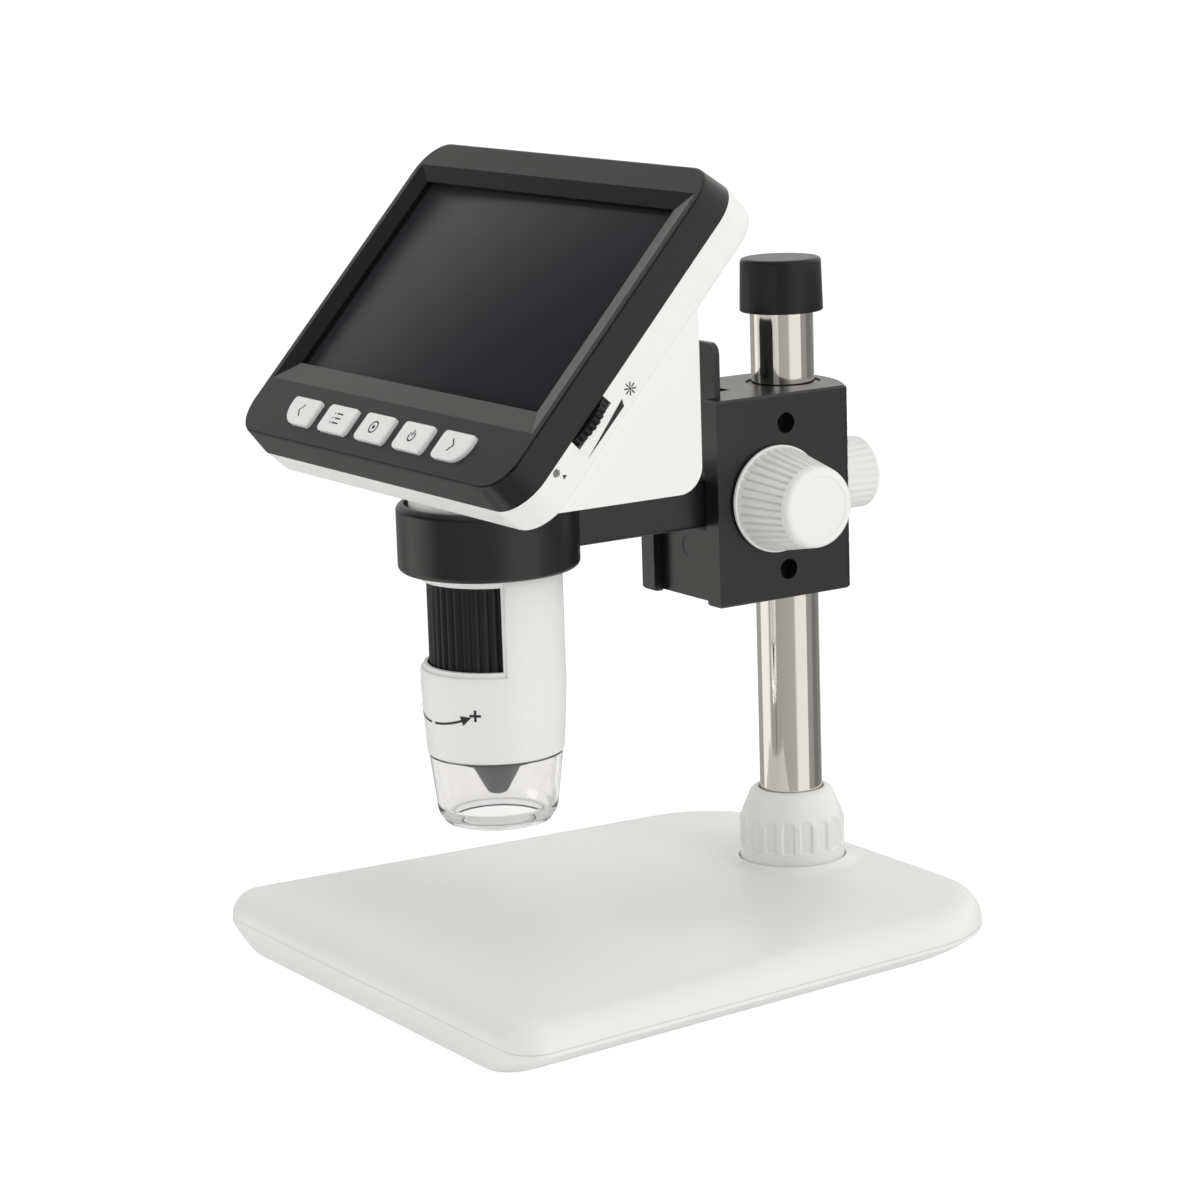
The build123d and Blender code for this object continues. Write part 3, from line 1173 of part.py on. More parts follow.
def barrel_housing():
    outer = turned((0, BARREL_MOUTH_Z), (BARREL_MOUTH_RADIUS, BARREL_MOUTH_Z),
                   (BARREL_RADIUS, BARREL_WAIST_Z),
                   (barrel_upper_radius, BARREL_WAIST_Z + BARREL_STEP_HEIGHT),
                   (barrel_upper_radius, NECK_BOTTOM_Z),
                   (NECK_RADIUS, NECK_BOTTOM_Z), (NECK_RADIUS, NECK_SEAM_Z), (spigot_outer, NECK_SEAM_Z),
                   (spigot_outer, spigot_top_z), (0, spigot_top_z))
    hollow = turned((0, BARREL_MOUTH_Z - CUT), (spigot_bore, BARREL_MOUTH_Z - CUT),
                    (spigot_bore, led_ledge_z),
                    (narrow_bore, led_ledge_z), (narrow_bore, shoulder_z), (ring_bore_radius, shoulder_z),
                    (ring_bore_radius, guide_z), (guide_bore_radius, guide_z),
                    (guide_bore_radius, spigot_top_z + CUT), (0, spigot_top_z + CUT))
    margin = WINDOW_STEP_MARGIN / 2
    frame = sector(barrel_upper_radius - WINDOW_STEP, 2 * BARREL_RADIUS, WINDOW_BOTTOM_Z - margin,
                   WINDOW_TOP_Z + margin, WINDOW_HALF_ANGLE + degrees(margin / BARREL_RADIUS))
    window = sector(CARRIER_RADIUS, 2 * BARREL_RADIUS, WINDOW_BOTTOM_Z, WINDOW_TOP_Z, WINDOW_HALF_ANGLE)
    return at_axis * (outer - hollow - frame - window)


def sector(inner, outer, low, high, half_angle):
    """Part of a ring, centred on the -Y side."""
    outline = Polyline((inner, low), (outer, low), (outer, high), (inner, high), close=True)
    section = Plane.XZ * make_face(outline)
    return Rot(0, 0, -90 - half_angle) * revolve(section, Axis.Z, revolution_arc=2 * half_angle)


def focus_ring():
    ring = tube(FOCUS_RING_RADIUS, CARRIER_RADIUS + RUN_GAP, ring_bottom_z, ring_top_z)
    length = ring_top_z - ring_bottom_z - 2 * FOCUS_RING_RIM
    groove = Pos(FOCUS_RING_RADIUS, 0, ring_bottom_z + FOCUS_RING_RIM) * Rot(0, 0, 45)
    groove = groove * Box(FOCUS_RING_FLUTE, FOCUS_RING_FLUTE, length, align=UP)
    return at_axis * (ring - ring_of(groove, FOCUS_RING_FLUTES))


def lens_carrier():
    """Keyed sleeve with the conical nose below it."""
    ledge = LENS_RADIUS - LENS_LEDGE
    outer = turned((0, NOSE_TIP_Z), (NOSE_TIP_RADIUS, NOSE_TIP_Z), (NOSE_SHOULDER_RADIUS, NOSE_SHOULDER_Z),
                   (NOSE_RADIUS, NOSE_CONE_Z), (NOSE_RADIUS, CARRIER_BOTTOM_Z),
                   (CARRIER_RADIUS, CARRIER_BOTTOM_Z), (CARRIER_RADIUS, CARRIER_TOP_Z), (0, CARRIER_TOP_Z))
    pinhole = NOSE_TIP_RADIUS / 2
    floor_z = CARRIER_BOTTOM_Z + CARRIER_WALL
    bore = CARRIER_RADIUS - CARRIER_WALL
    inner = turned((0, NOSE_TIP_Z - CUT), (pinhole, NOSE_TIP_Z - CUT), (pinhole, NOSE_TIP_Z + NOSE_WALL / 2),
                   (NOSE_SHOULDER_RADIUS - NOSE_WALL, NOSE_SHOULDER_Z + NOSE_WALL / 4), (ledge, NOSE_CONE_Z),
                   (ledge, lens_z), (LENS_RADIUS + SEAT_GAP, lens_z), (LENS_RADIUS + SEAT_GAP, floor_z),
                   (bore, floor_z), (bore, CARRIER_TOP_Z + CUT), (0, CARRIER_TOP_Z + CUT))
    half = CARRIER_KEY_WIDTH / 2 + RUN_GAP
    slot = box(-2 * CARRIER_RADIUS, 2 * CARRIER_RADIUS, -half, half, CARRIER_BOTTOM_Z + CARRIER_SLOT_FLOOR,
               CARRIER_TOP_Z + CUT)
    return at_axis * (outer - inner - slot)


def objective_lens():
    rim = LENS_RADIUS
    low = ThreePointArc((-rim, lens_z + LENS_BULGE), (0, lens_z), (rim, lens_z + LENS_BULGE))
    high_z = lens_z + LENS_THICKNESS
    high = ThreePointArc((rim, high_z - LENS_BULGE), (0, high_z), (-rim, high_z - LENS_BULGE))
    sides = [Line(low @ 1, high @ 0), Line(high @ 1, low @ 0)]
    profile = make_face([low, high] + sides)
    half = profile & (Pos(rim, lens_z) * Rectangle(2 * rim, 4 * LENS_THICKNESS))
    return at_axis * revolve(Plane.XZ * half, Axis.Z)


def lens_guide():
    """Flange that closes the ring in and carries two keys for the carrier."""
    flange = tube(guide_bore_radius - SEAT_GAP, GUIDE_BORE_RADIUS, guide_z, guide_top_z)
    far = CARRIER_RADIUS - CARRIER_KEY_DEPTH / 2
    near = CARRIER_RADIUS - CARRIER_WALL - CARRIER_KEY_DEPTH
    half = CARRIER_KEY_WIDTH / 2
    floor_z = CARRIER_BOTTOM_Z + CARRIER_KEY_FLOOR
    keys = [box(*sorted((side * near, side * far)), -half, half, floor_z, guide_z + JOIN)
            for side in (-1, 1)]
    return at_axis * (flange + keys)


def sensor_board():
    board = disc(guide_bore_radius - SENSOR_BOARD_INSET, guide_top_z, guide_top_z + SENSOR_BOARD_THICKNESS)
    half = SENSOR_SIZE / 2
    sensor = box(-half, half, -half, half, guide_top_z - SENSOR_THICKNESS, guide_top_z + JOIN)
    return at_axis * (board + sensor)


def leds():
    radius = (board_hole + spigot_bore) / 2
    lamp = Pos(radius, 0, LED_BOARD_Z - LED_HEIGHT) * Box(LED_SIZE, LED_SIZE, LED_HEIGHT, align=UP)
    return [at_axis * piece for piece in ring_of(lamp, LED_COUNT)]


def contact_cap():
    wall = CONTACT_CAP_WALL
    top_z = BARREL_MOUTH_Z - CONTACT_CAP_STOP
    mouth = BARREL_MOUTH_RADIUS - CONTACT_CAP_SHOULDER
    spigot = spigot_bore - RUN_GAP
    outer = turned((0, CONTACT_CAP_BOTTOM_Z), (CONTACT_CAP_FOOT_RADIUS, CONTACT_CAP_BOTTOM_Z),
                   (CONTACT_CAP_LOW_RADIUS, CONTACT_CAP_LOW_Z), (mouth, top_z), (spigot, top_z),
                   (spigot, top_z + CONTACT_CAP_SPIGOT), (0, top_z + CONTACT_CAP_SPIGOT))
    floor_z = CONTACT_CAP_BOTTOM_Z + CONTACT_CAP_FLOOR
    inner = turned((0, floor_z), (CONTACT_CAP_FOOT_RADIUS - wall, floor_z),
                   (CONTACT_CAP_LOW_RADIUS - wall, CONTACT_CAP_LOW_Z + wall / 2),
                   (spigot - wall, top_z - wall),
                   (spigot - wall, top_z + CONTACT_CAP_SPIGOT + CUT), (0, top_z + CONTACT_CAP_SPIGOT + CUT))
    hole = disc(CONTACT_CAP_HOLE_RADIUS, CONTACT_CAP_BOTTOM_Z - CUT, floor_z + CUT)
    return at_axis * (outer - inner - hole)


parts["barrel_housing"] = barrel_housing()
parts["focus_ring"] = focus_ring()
parts["lens_carrier"] = lens_carrier()
parts["objective_lens"] = objective_lens()
parts["lens_guide"] = lens_guide()
parts["sensor_board"] = sensor_board()
parts["led_board"] = at_axis * tube(spigot_bore - SEAT_GAP, board_hole, LED_BOARD_Z, led_ledge_z)
parts["leds"] = leds()
parts["contact_cap"] = contact_cap()

os.makedirs("parts", exist_ok=True)
for name, piece in parts.items():
    solids = Compound(children=list(piece)) if isinstance(piece, list) else piece
    export_step(solids, f"parts/{name}.step")
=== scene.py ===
import json
import math
import bpy
import bmesh
from mathutils import Matrix, Vector


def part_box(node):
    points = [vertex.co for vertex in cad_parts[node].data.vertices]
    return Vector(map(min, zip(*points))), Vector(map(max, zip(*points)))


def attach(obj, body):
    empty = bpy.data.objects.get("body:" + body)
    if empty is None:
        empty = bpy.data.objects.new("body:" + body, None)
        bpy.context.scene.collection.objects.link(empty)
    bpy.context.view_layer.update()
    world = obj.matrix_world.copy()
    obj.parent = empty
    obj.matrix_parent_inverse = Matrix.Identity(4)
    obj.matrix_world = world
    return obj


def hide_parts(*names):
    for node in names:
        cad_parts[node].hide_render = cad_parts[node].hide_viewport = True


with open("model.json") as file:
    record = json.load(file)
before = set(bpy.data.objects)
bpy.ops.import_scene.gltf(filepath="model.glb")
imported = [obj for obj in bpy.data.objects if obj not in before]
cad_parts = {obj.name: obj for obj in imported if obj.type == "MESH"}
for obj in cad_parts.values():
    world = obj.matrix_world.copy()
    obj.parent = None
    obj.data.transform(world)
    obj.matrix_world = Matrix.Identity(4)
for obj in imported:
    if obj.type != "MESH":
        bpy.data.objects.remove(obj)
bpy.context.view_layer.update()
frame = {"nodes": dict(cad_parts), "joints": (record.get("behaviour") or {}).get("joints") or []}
nodes = frame["nodes"]
mm = 0.001
fullTurn = 2 * math.pi


# places read from the frame
def middleOf(node):
    low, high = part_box(node)
    return (low + high) / 2


columnY = middleOf("column_tube").y
opticY = middleOf("objective_lens").y
pinionZ = middleOf("pinion_shaft").z
columnPlace = Matrix.Translation((0, columnY, 0))
opticPlace = Matrix.Translation((0, opticY, 0))

keyJoint = next(joint for joint in frame["joints"] if joint["name"] == "menu_press")
screenNormal = -Vector(keyJoint["axis"])
screenUp = screenNormal.cross(Vector((1, 0, 0)))
headReach = 107.7 * mm      # the head's lower front edge, ahead of the column and above the floor
headHeight = 119.0 * mm
headOrigin = Vector((0, columnY - headReach, headHeight))
headPlace = Matrix((
    (1, screenUp.x, screenNormal.x, headOrigin.x),
    (0, screenUp.y, screenNormal.y, headOrigin.y),
    (0, screenUp.z, screenNormal.z, headOrigin.z),
    (0, 0, 0, 1)))


# shader helpers
def newMaterial(name):
    material = bpy.data.materials.new(name)
    material.use_nodes = True
    tree = material.node_tree
    shader = tree.nodes["Principled BSDF"]
    return material, tree, shader


def link(tree, output, target):
    tree.links.new(output, target)


def node(tree, kind, **values):
    made = tree.nodes.new(kind)
    for key, value in values.items():
        setattr(made, key, value)
    return made


def makeGroup(name, inputs, outputs):
    group = bpy.data.node_groups.new(name, "ShaderNodeTree")
    for label, kind, value in inputs:
        socket = group.interface.new_socket(name=label, in_out="INPUT", socket_type=kind)
        socket.default_value = value
    for label, kind in outputs:
        group.interface.new_socket(name=label, in_out="OUTPUT", socket_type=kind)
    start = group.nodes.new("NodeGroupInput")
    end = group.nodes.new("NodeGroupOutput")
    return group, start, end


# moulded skin: fine grain, slow colour drift, uneven gloss
def mouldedSkin():
    group, start, end = makeGroup(
        "mouldedSkin",
        [("Colour", "NodeSocketColor", (0.8, 0.8, 0.8, 1)), ("Drift", "NodeSocketFloat", 0.03),
         ("Gloss", "NodeSocketFloat", 0.4), ("Gloss Drift", "NodeSocketFloat", 0.05),
         ("Grain Size", "NodeSocketFloat", 3500.0), ("Grain Depth", "NodeSocketFloat", 0.15)],
        [("Colour", "NodeSocketColor"), ("Roughness", "NodeSocketFloat"), ("Normal", "NodeSocketVector")])
    place = node(group, "ShaderNodeTexCoord")
    broad = node(group, "ShaderNodeTexNoise")
    broad.inputs["Scale"].default_value = 28.0
    broad.inputs["Detail"].default_value = 3.0
    fine = node(group, "ShaderNodeTexNoise")
    fine.inputs["Detail"].default_value = 2.0
    link(group, place.outputs["Object"], broad.inputs["Vector"])
    link(group, place.outputs["Object"], fine.inputs["Vector"])
    link(group, start.outputs["Grain Size"], fine.inputs["Scale"])
    centred = node(group, "ShaderNodeMath", operation="SUBTRACT")
    link(group, broad.outputs["Fac"], centred.inputs[0])
    centred.inputs[1].default_value = 0.5
    shade = node(group, "ShaderNodeMath", operation="MULTIPLY_ADD")
    link(group, centred.outputs[0], shade.inputs[0])
    link(group, start.outputs["Drift"], shade.inputs[1])
    shade.inputs[2].default_value = 1.0
    tint = node(group, "ShaderNodeVectorMath", operation="SCALE")
    link(group, start.outputs["Colour"], tint.inputs[0])
    link(group, shade.outputs[0], tint.inputs["Scale"])
    gloss = node(group, "ShaderNodeMath", operation="MULTIPLY_ADD")
    link(group, centred.outputs[0], gloss.inputs[0])
    link(group, start.outputs["Gloss Drift"], gloss.inputs[1])
    link(group, start.outputs["Gloss"], gloss.inputs[2])
    bump = node(group, "ShaderNodeBump")
    bump.inputs["Distance"].default_value = 0.02 * mm
    link(group, start.outputs["Grain Depth"], bump.inputs["Strength"])
    link(group, fine.outputs["Fac"], bump.inputs["Height"])
    link(group, tint.outputs[0], end.inputs["Colour"])
    link(group, gloss.outputs[0], end.inputs["Roughness"])
    link(group, bump.outputs["Normal"], end.inputs["Normal"])
    return group


skinGroup = mouldedSkin()


# painted shade: darkens the colour in a thin band at one height, in place of the shadow in the parting line
# between two shells
def paintedSeamShade(tree, colour, height, half, depth):
    place = node(tree, "ShaderNodeTexCoord")
    parts = node(tree, "ShaderNodeSeparateXYZ")
    link(tree, place.outputs["Object"], parts.inputs[0])
    near = node(tree, "ShaderNodeMath", operation="COMPARE")
    near.inputs[1].default_value = height * mm
    near.inputs[2].default_value = half * mm
    link(tree, parts.outputs["Z"], near.inputs[0])
    shade = node(tree, "ShaderNodeMath", operation="MULTIPLY_ADD")
    shade.inputs[1].default_value = -depth
    shade.inputs[2].default_value = 1.0
    link(tree, near.outputs[0], shade.inputs[0])
    tint = node(tree, "ShaderNodeVectorMath", operation="SCALE")
    link(tree, colour, tint.inputs[0])
    link(tree, shade.outputs[0], tint.inputs["Scale"])
    return tint.outputs[0]


# seam, where given, is the height, half height and depth of the painted shade along a parting line
def mouldedMaterial(name, colour, gloss, drift=0.03, glossDrift=0.06, grain=3500.0, depth=0.15, sheen=0.5,
                    seam=None):
    material, tree, shader = newMaterial(name)
    skin = node(tree, "ShaderNodeGroup", node_tree=skinGroup)
    skin.inputs["Colour"].default_value = (*colour, 1)
    skin.inputs["Drift"].default_value = drift
    skin.inputs["Gloss"].default_value = gloss
    skin.inputs["Gloss Drift"].default_value = glossDrift
    skin.inputs["Grain Size"].default_value = grain
    skin.inputs["Grain Depth"].default_value = depth
    shade = skin.outputs["Colour"] if seam is None else paintedSeamShade(tree, skin.outputs["Colour"], *seam)
    link(tree, shade, shader.inputs["Base Color"])
    link(tree, skin.outputs["Roughness"], shader.inputs["Roughness"])
    link(tree, skin.outputs["Normal"], shader.inputs["Normal"])
    shader.inputs["Specular IOR Level"].default_value = sheen
    return material


# stretch draws the marks out along an axis
def brushedMetal(name, colour, gloss, stretch, strength=0.1):
    material, tree, shader = newMaterial(name)
    place = node(tree, "ShaderNodeTexCoord")
    turn = node(tree, "ShaderNodeMapping")
    turn.inputs["Scale"].default_value = stretch
    marks = node(tree, "ShaderNodeTexNoise")
    marks.inputs["Scale"].default_value = 600.0
    marks.inputs["Detail"].default_value = 4.0
    spread = node(tree, "ShaderNodeMapRange")
    spread.inputs["To Min"].default_value = gloss * 0.7
    spread.inputs["To Max"].default_value = gloss * 1.4
    bump = node(tree, "ShaderNodeBump")
    bump.inputs["Strength"].default_value = strength
    bump.inputs["Distance"].default_value = 0.005 * mm
    link(tree, place.outputs["Object"], turn.inputs["Vector"])
    link(tree, turn.outputs["Vector"], marks.inputs["Vector"])
    link(tree, marks.outputs["Fac"], spread.inputs["Value"])
    link(tree, marks.outputs["Fac"], bump.inputs["Height"])
    link(tree, spread.outputs["Result"], shader.inputs["Roughness"])
    link(tree, bump.outputs["Normal"], shader.inputs["Normal"])
    shader.inputs["Base Color"].default_value = (*colour, 1)
    shader.inputs["Metallic"].default_value = 1.0
    return material


# see-through plastic or glass with a faint uneven haze
def clearPlastic(name, tint, roughness, ior=1.49):
    material, tree, shader = newMaterial(name)
    place = node(tree, "ShaderNodeTexCoord")
    haze = node(tree, "ShaderNodeTexNoise")
    haze.inputs["Scale"].default_value = 90.0
    spread = node(tree, "ShaderNodeMapRange")
    spread.inputs["To Min"].default_value = roughness * 0.5
    spread.inputs["To Max"].default_value = roughness * 1.5
    link(tree, place.outputs["Object"], haze.inputs["Vector"])
    link(tree, haze.outputs["Fac"], spread.inputs["Value"])
    link(tree, spread.outputs["Result"], shader.inputs["Roughness"])
    shader.inputs["Base Color"].default_value = (*tint, 1)
    shader.inputs["Transmission Weight"].default_value = 1.0
    shader.inputs["IOR"].default_value = ior
    return material


whitePlastic = mouldedMaterial("whitePlastic", (0.80, 0.80, 0.785), 0.34)
# the base's white gets a thin band of painted shade at 7.8 mm, in place of the shadow in the shells' parting
# line
whiteBase = mouldedMaterial("whiteBase", (0.80, 0.80, 0.79), 0.36, grain=2400.0, depth=0.2,
                            seam=(7.8, 0.13, 0.2))
knobWhite = mouldedMaterial("knobWhite", (0.80, 0.80, 0.79), 0.38)
keyWhite = mouldedMaterial("keyWhite", (0.80, 0.80, 0.79), 0.3)
bezelBlack = mouldedMaterial("bezelBlack", (0.006, 0.006, 0.0065), 0.27, drift=0.2, grain=4200.0, depth=0.25,
                             sheen=0.48)
blackPlastic = mouldedMaterial("blackPlastic", (0.010, 0.010, 0.011), 0.33, drift=0.2, grain=4200.0,
                               depth=0.25, sheen=0.32)
blackMetal = mouldedMaterial("blackMetal", (0.007, 0.007, 0.0075), 0.30, drift=0.25, grain=2600.0, depth=0.4,
                             sheen=0.65)
blackRubber = mouldedMaterial("blackRubber", (0.009, 0.009, 0.010), 0.42, drift=0.2, grain=3000.0, depth=0.3,
                              sheen=0.4)
footRubber = mouldedMaterial("footRubber", (0.03, 0.03, 0.03), 0.75, drift=0.3, grain=1500.0, depth=0.6)
nylon = mouldedMaterial("nylon", (0.30, 0.29, 0.27), 0.45)
greyNose = mouldedMaterial("greyNose", (0.13, 0.13, 0.135), 0.45, grain=4000.0)
inkBlack = mouldedMaterial("inkBlack", (0.02, 0.02, 0.022), 0.5, drift=0.3)
boardGreen = mouldedMaterial("boardGreen", (0.02, 0.14, 0.06), 0.4)
cellWrap = mouldedMaterial("cellWrap", (0.05, 0.16, 0.35), 0.25)
ledLens = mouldedMaterial("ledLens", (0.85, 0.80, 0.45), 0.2)
columnSteel = brushedMetal("columnSteel", (0.90, 0.88, 0.84), 0.07, (1, 1, 12), 0.05)
screwSteel = brushedMetal("screwSteel", (0.55, 0.55, 0.56), 0.28, (1, 1, 1))
darkSteel = brushedMetal("darkSteel", (0.06, 0.06, 0.06), 0.35, (1, 1, 1))
brassMetal = brushedMetal("brassMetal", (0.72, 0.52, 0.25), 0.25, (1, 1, 1))
clearCap = clearPlastic("clearCap", (0.87, 0.865, 0.86), 0.03)
lensGlass = clearPlastic("lensGlass", (0.95, 0.97, 0.98), 0.01, 1.52)
screenDark = mouldedMaterial("screenDark", (0.022, 0.022, 0.026), 0.24, drift=0.1, grain=9000.0, depth=0.02,
                             sheen=0.08)
displayDark = mouldedMaterial("displayDark", (0.02, 0.02, 0.024), 0.25)

# every node of the frame has a look, those that a finer piece replaces too
nodeLooks = {
    whiteBase: ["base_top_shell", "base_bottom_shell"],
    whitePlastic: ["collar_nut", "lock_knob", "focus_knob_right", "focus_knob_left", "rear_shell",
                   "battery_cover", "barrel_housing"],
    keyWhite: ["previous_key", "menu_key", "confirm_key", "power_key", "next_key"],
    bezelBlack: ["bezel"],
    blackPlastic: ["column_cap", "ring_liner", "key_switches", "brightness_pot", "reset_switch",
                   "lens_guide"],
    blackMetal: ["rack_block", "bracket", "rack_screws"],
    blackRubber: ["focus_ring", "brightness_wheel"],
    footRubber: ["rubber_feet"],
    nylon: ["column_bush", "focus_rack", "reset_button"],
    greyNose: ["lens_carrier"],
    boardGreen: ["main_board", "key_board", "sensor_board", "led_board"],
    cellWrap: ["battery_cell"],
    ledLens: ["leds"],
    columnSteel: ["column_tube"],
    screwSteel: ["base_screws", "head_screws", "cover_screw", "lock_screw", "pinion_shaft", "usb_port",
                 "card_socket"],
    darkSteel: ["side_screws"],
    brassMetal: ["pinion_bushes", "lock_insert", "battery_contacts"],
    clearCap: ["contact_cap"],
    lensGlass: ["objective_lens"],
    screenDark: ["screen_glass"],
    displayDark: ["lcd_panel"],
}
for look, names in nodeLooks.items():
    for name in names:
        nodes[name].data.materials.clear()
        nodes[name].data.materials.append(look)
print("looks of the frame's nodes done")


# pieces are shaped in millimetres; addPiece scales and places them and seats them on their body
weldGap = 0.0008


def addPiece(name, shape, look, body, place=Matrix(), hides=(), sharpAngle=38):
    bmesh.ops.remove_doubles(shape, verts=shape.verts, dist=weldGap)
    bmesh.ops.recalc_face_normals(shape, faces=shape.faces)
    shape.transform(place @ Matrix.Scale(mm, 4))
    mesh = bpy.data.meshes.new(name)
    shape.to_mesh(mesh)
    shape.free()
    if "custom_normal" in mesh.attributes:      # a copied mesh keeps the old normals
        mesh.attributes.remove(mesh.attributes["custom_normal"])
    mesh.shade_smooth()
    mesh.set_sharp_from_angle(angle=math.radians(sharpAngle))
    mesh.materials.append(look)
    piece = bpy.data.objects.new(name, mesh)
    bpy.context.scene.collection.objects.link(piece)
    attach(piece, body)
    if hides:
        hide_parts(*hides)
    return piece


# turns (radius, height, rounding) points about Z; a closed profile makes a ring
def spinProfile(profile, steps, closed=False):
    shape = bmesh.new()
    line = [shape.verts.new((point[0], 0, point[1])) for point in profile]
    ends = list(zip(line, line[1:]))
    if closed:
        ends.append((line[-1], line[0]))
    for start, end in ends:
        shape.edges.new((start, end))
    for vert, point in zip(line, profile):
        if len(point) > 2:
            bmesh.ops.bevel(shape, geom=[vert], offset=point[2], offset_type="OFFSET", segments=5,
                            profile=0.5, affect="VERTICES", material=-1)
    bmesh.ops.spin(shape, geom=shape.verts[:] + shape.edges[:], cent=(0, 0, 0), axis=(0, 0, 1),
                   angle=fullTurn, steps=steps, use_merge=True, use_duplicate=False)
    bmesh.ops.remove_doubles(shape, verts=shape.verts, dist=weldGap)
    return shape


# presses grooves into a turned wall between two heights, fading out at both ends
def pressGrooves(shape, count, depth, low, high, least, width=0.6, fade=0.8):
    for vert in shape.verts:
        radius = vert.co.xy.length
        if radius < least or not low < vert.co.z < high:
            continue
        turn = math.atan2(vert.co.y, vert.co.x) * count / fullTurn
        phase = 2 * abs(turn - round(turn))
        share = max(0.0, 1 - phase / width) * min(1.0, (vert.co.z - low) / fade, (high - vert.co.z) / fade)
        vert.co.x *= 1 - depth * share / radius
        vert.co.y *= 1 - depth * share / radius


def addBar(shape, start, end, width):
    start, end = Vector(start), Vector(end)
    along = end - start
    middle = (start + end) / 2
    turn = Matrix.Rotation(math.atan2(along.y, along.x), 4, "Z")
    size = Matrix.Diagonal((along.length, width, 1, 1))
    bmesh.ops.create_grid(shape, x_segments=1, y_segments=1, size=0.5,
                          matrix=Matrix.Translation((middle.x, middle.y, 0)) @ turn @ size)


def addDot(shape, centre, radius, segments=20):
    bmesh.ops.create_circle(shape, cap_ends=True, segments=segments, radius=radius,
                            matrix=Matrix.Translation((*centre, 0)))


def addArc(shape, centre, radius, width, startAngle, sweep, steps):
    turn = math.radians(startAngle)
    edge = [shape.verts.new((centre[0] + reach * math.cos(turn), centre[1] + reach * math.sin(turn), 0))
            for reach in (radius - width / 2, radius + width / 2)]
    line = shape.edges.new(edge)
    bmesh.ops.spin(shape, geom=[*edge, line], cent=(*centre, 0), axis=(0, 0, 1), angle=math.radians(sweep),
                   steps=steps, use_merge=abs(sweep) == 360, use_duplicate=False)


def addTriangle(shape, corners):
    shape.faces.new([shape.verts.new((*corner, 0)) for corner in corners])


# cuts a box-shaped opening, then keeps the result as the piece's own mesh
def carveBox(piece, spanX, spanY, spanZ, place):
    tool = bmesh.new()
    bmesh.ops.create_cube(tool, size=1.0)
    size = [span[1] - span[0] for span in (spanX, spanY, spanZ)]
    middle = [(span[1] + span[0]) / 2 for span in (spanX, spanY, spanZ)]
    tool.transform(place @ Matrix.Scale(mm, 4) @ Matrix.Translation(middle) @ Matrix.Diagonal((*size, 1)))
    mesh = bpy.data.meshes.new("cutter")
    tool.to_mesh(mesh)
    tool.free()
    cutter = bpy.data.objects.new("cutter", mesh)
    bpy.context.scene.collection.objects.link(cutter)
    cut = piece.modifiers.new("cut", "BOOLEAN")
    cut.operation = "DIFFERENCE"
    cut.solver = "EXACT"
    cut.object = cutter
    bpy.context.view_layer.update()
    view = bpy.context.evaluated_depsgraph_get()
    result = bpy.data.meshes.new_from_object(piece.evaluated_get(view))
    piece.modifiers.remove(cut)
    piece.data = result
    bpy.data.objects.remove(cutter)


# a copy of a frame node's own mesh, merged and in millimetres
def copyOfNode(name):
    shape = bmesh.new()
    shape.from_mesh(nodes[name].data)
    bmesh.ops.remove_doubles(shape, verts=shape.verts, dist=0.001 * mm)
    shape.transform(Matrix.Scale(1 / mm, 4))
    return shape


def copyInto(whole, shape):
    mesh = bpy.data.meshes.new("copied")
    shape.to_mesh(mesh)
    shape.free()
    whole.from_mesh(mesh)
    bpy.data.meshes.remove(mesh)


# flat marks get a little thickness, like pad-printed ink
def thickenMarks(shape, height):
    bmesh.ops.recalc_face_normals(shape, faces=shape.faces)
    for face in shape.faces:
        if face.normal.z < 0:
            face.normal_flip()
    bmesh.ops.solidify(shape, geom=shape.faces[:], thickness=-height)


# a plug holds the cap in the tube
columnCap = {"radius": 9.2, "lean": 0.3, "low": 139.3, "high": 151.0, "edge": 0.9, "bore": 7.06,
             "plug": 133.0, "plugRadius": 5.97, "roof": 142.03, "dish": 0.12, "steps": 96}


def buildColumnCap():
    cap = columnCap
    profile = [(0, cap["high"] - cap["dish"]), (cap["radius"] * 0.6, cap["high"] - 0.05),
               (cap["radius"] - cap["lean"], cap["high"], cap["edge"]),
               (cap["radius"], cap["low"], 0.35), (cap["bore"], cap["low"], 0.2), (cap["bore"], cap["roof"]),
               (cap["plugRadius"], cap["roof"]), (cap["plugRadius"], cap["plug"], 0.5), (0, cap["plug"])]
    shape = spinProfile(profile, cap["steps"])
    addPiece("columnCap", shape, blackPlastic, "stand", columnPlace, ["column_cap"])


# the collar's inner cone and thread hold the collet of the base
collar = {"radius": 11.8, "low": 14.86, "shoulder": 24.6, "high": 31.6, "topRadius": 8.9, "edge": 1.2,
          "panels": 18, "panelDepth": 0.45, "panelLow": 18.3, "panelHigh": 25.6, "panelHalf": 0.70,
          "cornerFrom": 0.45, "bore": 7.3, "thread": 9.46, "threadTop": 19.86, "cone": 8.26, "coneLow": 22.26,
          "coneTop": 23.4, "stepsPerPanel": 16}


